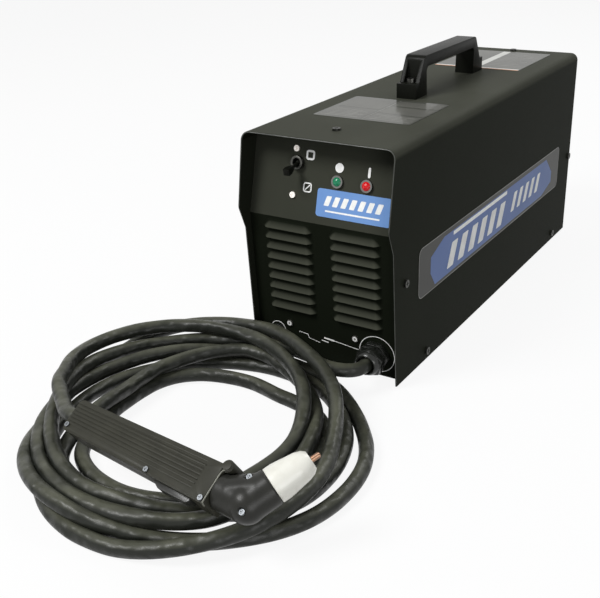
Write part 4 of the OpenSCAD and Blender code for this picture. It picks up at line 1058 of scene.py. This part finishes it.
def makeSidePrints():
    strokes = leaningStrokes(**sidePrints["tallStrokes"]) + leaningStrokes(**sidePrints["shortStrokes"])
    line = roundedBox(*sidePrints["line"])
    for surface in ("right", "left"):
        printed(surface + "Band", surface, [sidePrints["band"]], inks["blue"], "dark_film", "film")
        printed(surface + "Strokes", surface, strokes, inks["silver"], "dark_film", "overInk")
        printed(surface + "Line", surface, [line], inks["white"], "dark_film", "overInk")
        printed(surface + "Rim", surface, [frameBox(*sidePrints["rim"])], inks["mist"], "dark_film", "film")


topPrints = dict(
    frontPanels=[(-26, -152, 48, 38, 1.2), (27, -158, 50, 26, 1.2), (27, -127, 50, 28, 1.2),
                 (-26, -108, 48, 42, 1.2), (27, -98, 50, 20, 1.2)],
    frontDivide=(0.8, -128, 0.9, 86, 0.3),
    rearStrips=[(-3, 177, 10, 108, 1), (0, 120, 106, 4.4, 0.8)],
    rearRule=(0, 116.4, 107, 2.4, 0.6),
    rearPanels=[(-31, 178, 43, 106, 1.2), (28, 178, 49, 106, 1.2)],
)


def makeTopPrints():
    # The front film carries faint panels, the rear one pale panels under a warm line
    def onTop(name, boxes, ink, lift):
        printed(name, "top", [roundedBox(*box) for box in boxes], inks[ink], "clear_film", lift)

    onTop("frontFilmPanels", topPrints["frontPanels"], "grey", "film")
    lines = [(-26 - 4 * (k % 2), -166 + k * 5.2, 38 - 8 * (k % 2), 1.4, 0.5) for k in range(6)]
    lines += [(27, -166 + k * 5, 42 - 6 * (k % 3), 1.3, 0.5) for k in range(4)]
    onTop("frontFilmLines", lines + [topPrints["frontDivide"]], "mist", "overInk")
    onTop("rearFilmStrips", topPrints["rearStrips"], "pale", "film")
    onTop("rearFilmRule", [topPrints["rearRule"]], "orange", "film")
    onTop("rearFilmPanels", topPrints["rearPanels"], "grey", "film")
    lines = [(28 - 3 * (k % 3), 140 + k * 9, 40 - 6 * (k % 3), 1.6, 0.5) for k in range(9)]
    onTop("rearFilmLines", lines, "mist", "overInk")


makeFrontPrints()
makeSidePrints()
makeTopPrints()
print("prints made")

floorLook = dict(half=12, colour=(0.4, 0.4, 0.4, 1), white=(1, 1, 1, 1), glow=1.13, glowShare=0.8)
studio = dict(ambient=(0.92, 0.96, 1, 1), ambientStrength=0.25, whiteStrength=1.0)
lamps = dict(
    key=dict(place=(-0.9, -1.7, 2.1), size=1.1, power=58),
    back=dict(place=(0.2, 1.5, 1.8), size=1.2, power=18),
    fill=dict(place=(1.4, -1.3, 0.35), size=0.9, power=9),
)
lampTarget = Vector((0, -0.12, 0.1))


def seenRays(tree):
    # 1 for what the camera sees straight on, in a gloss or through glass
    path = tree.nodes.new("ShaderNodeLightPath")
    total = path.outputs["Is Camera Ray"]
    for ray in ("Is Glossy Ray", "Is Transmission Ray"):
        total = combine(tree, "MAXIMUM", total, path.outputs[ray])
    return total


def mixShaders(tree, output, factor, first, second):
    mixed = tree.nodes.new("ShaderNodeMixShader")
    tree.links.new(factor, mixed.inputs["Fac"])
    tree.links.new(first.outputs[0], mixed.inputs[1])
    tree.links.new(second.outputs[0], mixed.inputs[2])
    tree.links.new(mixed.outputs[0], tree.nodes.new(output).inputs["Surface"])


def makeStage():
    finish = bpy.data.materials.new("paleFloor")
    finish.use_nodes = True
    tree = finish.node_tree
    tree.nodes.clear()
    matt = tree.nodes.new("ShaderNodeBsdfDiffuse")
    matt.inputs["Color"].default_value = floorLook["colour"]
    plain = tree.nodes.new("ShaderNodeEmission")
    plain.inputs["Color"].default_value = floorLook["white"]
    plain.inputs["Strength"].default_value = floorLook["glow"]
    share = combine(tree, "MULTIPLY", seenRays(tree), floorLook["glowShare"])
    mixShaders(tree, "ShaderNodeOutputMaterial", share, matt, plain)
    half = floorLook["half"]
    corners = [(-half, -half, 0), (half, -half, 0), (half, half, 0), (-half, half, 0)]
    data = bpy.data.meshes.new("floor")
    data.from_pydata(corners, [], [(0, 1, 2, 3)])
    data.materials.append(finish)
    floor = bpy.data.objects.new("floor", data)
    bpy.context.scene.collection.objects.link(floor)


def makeWorld():
    world = bpy.data.worlds.new("studio")
    bpy.context.scene.world = world
    world.use_nodes = True
    tree = world.node_tree
    tree.nodes.clear()
    ambient = tree.nodes.new("ShaderNodeBackground")
    ambient.inputs["Color"].default_value = studio["ambient"]
    ambient.inputs["Strength"].default_value = studio["ambientStrength"]
    white = tree.nodes.new("ShaderNodeBackground")
    white.inputs["Strength"].default_value = studio["whiteStrength"]
    mixShaders(tree, "ShaderNodeOutputWorld", seenRays(tree), ambient, white)


def makeLamps():
    for name, lamp in lamps.items():
        data = bpy.data.lights.new(name + "Lamp", "AREA")
        data.shape = "DISK"
        data.size = lamp["size"]
        data.energy = lamp["power"]
        holder = bpy.data.objects.new(name + "Lamp", data)
        holder.location = lamp["place"]
        holder.rotation_euler = (lampTarget - holder.location).to_track_quat("-Z", "Y").to_euler()
        bpy.context.scene.collection.objects.link(holder)


makeStage()
makeWorld()
makeLamps()
bpy.context.scene.view_settings.view_transform = "Standard"
print("stage made")
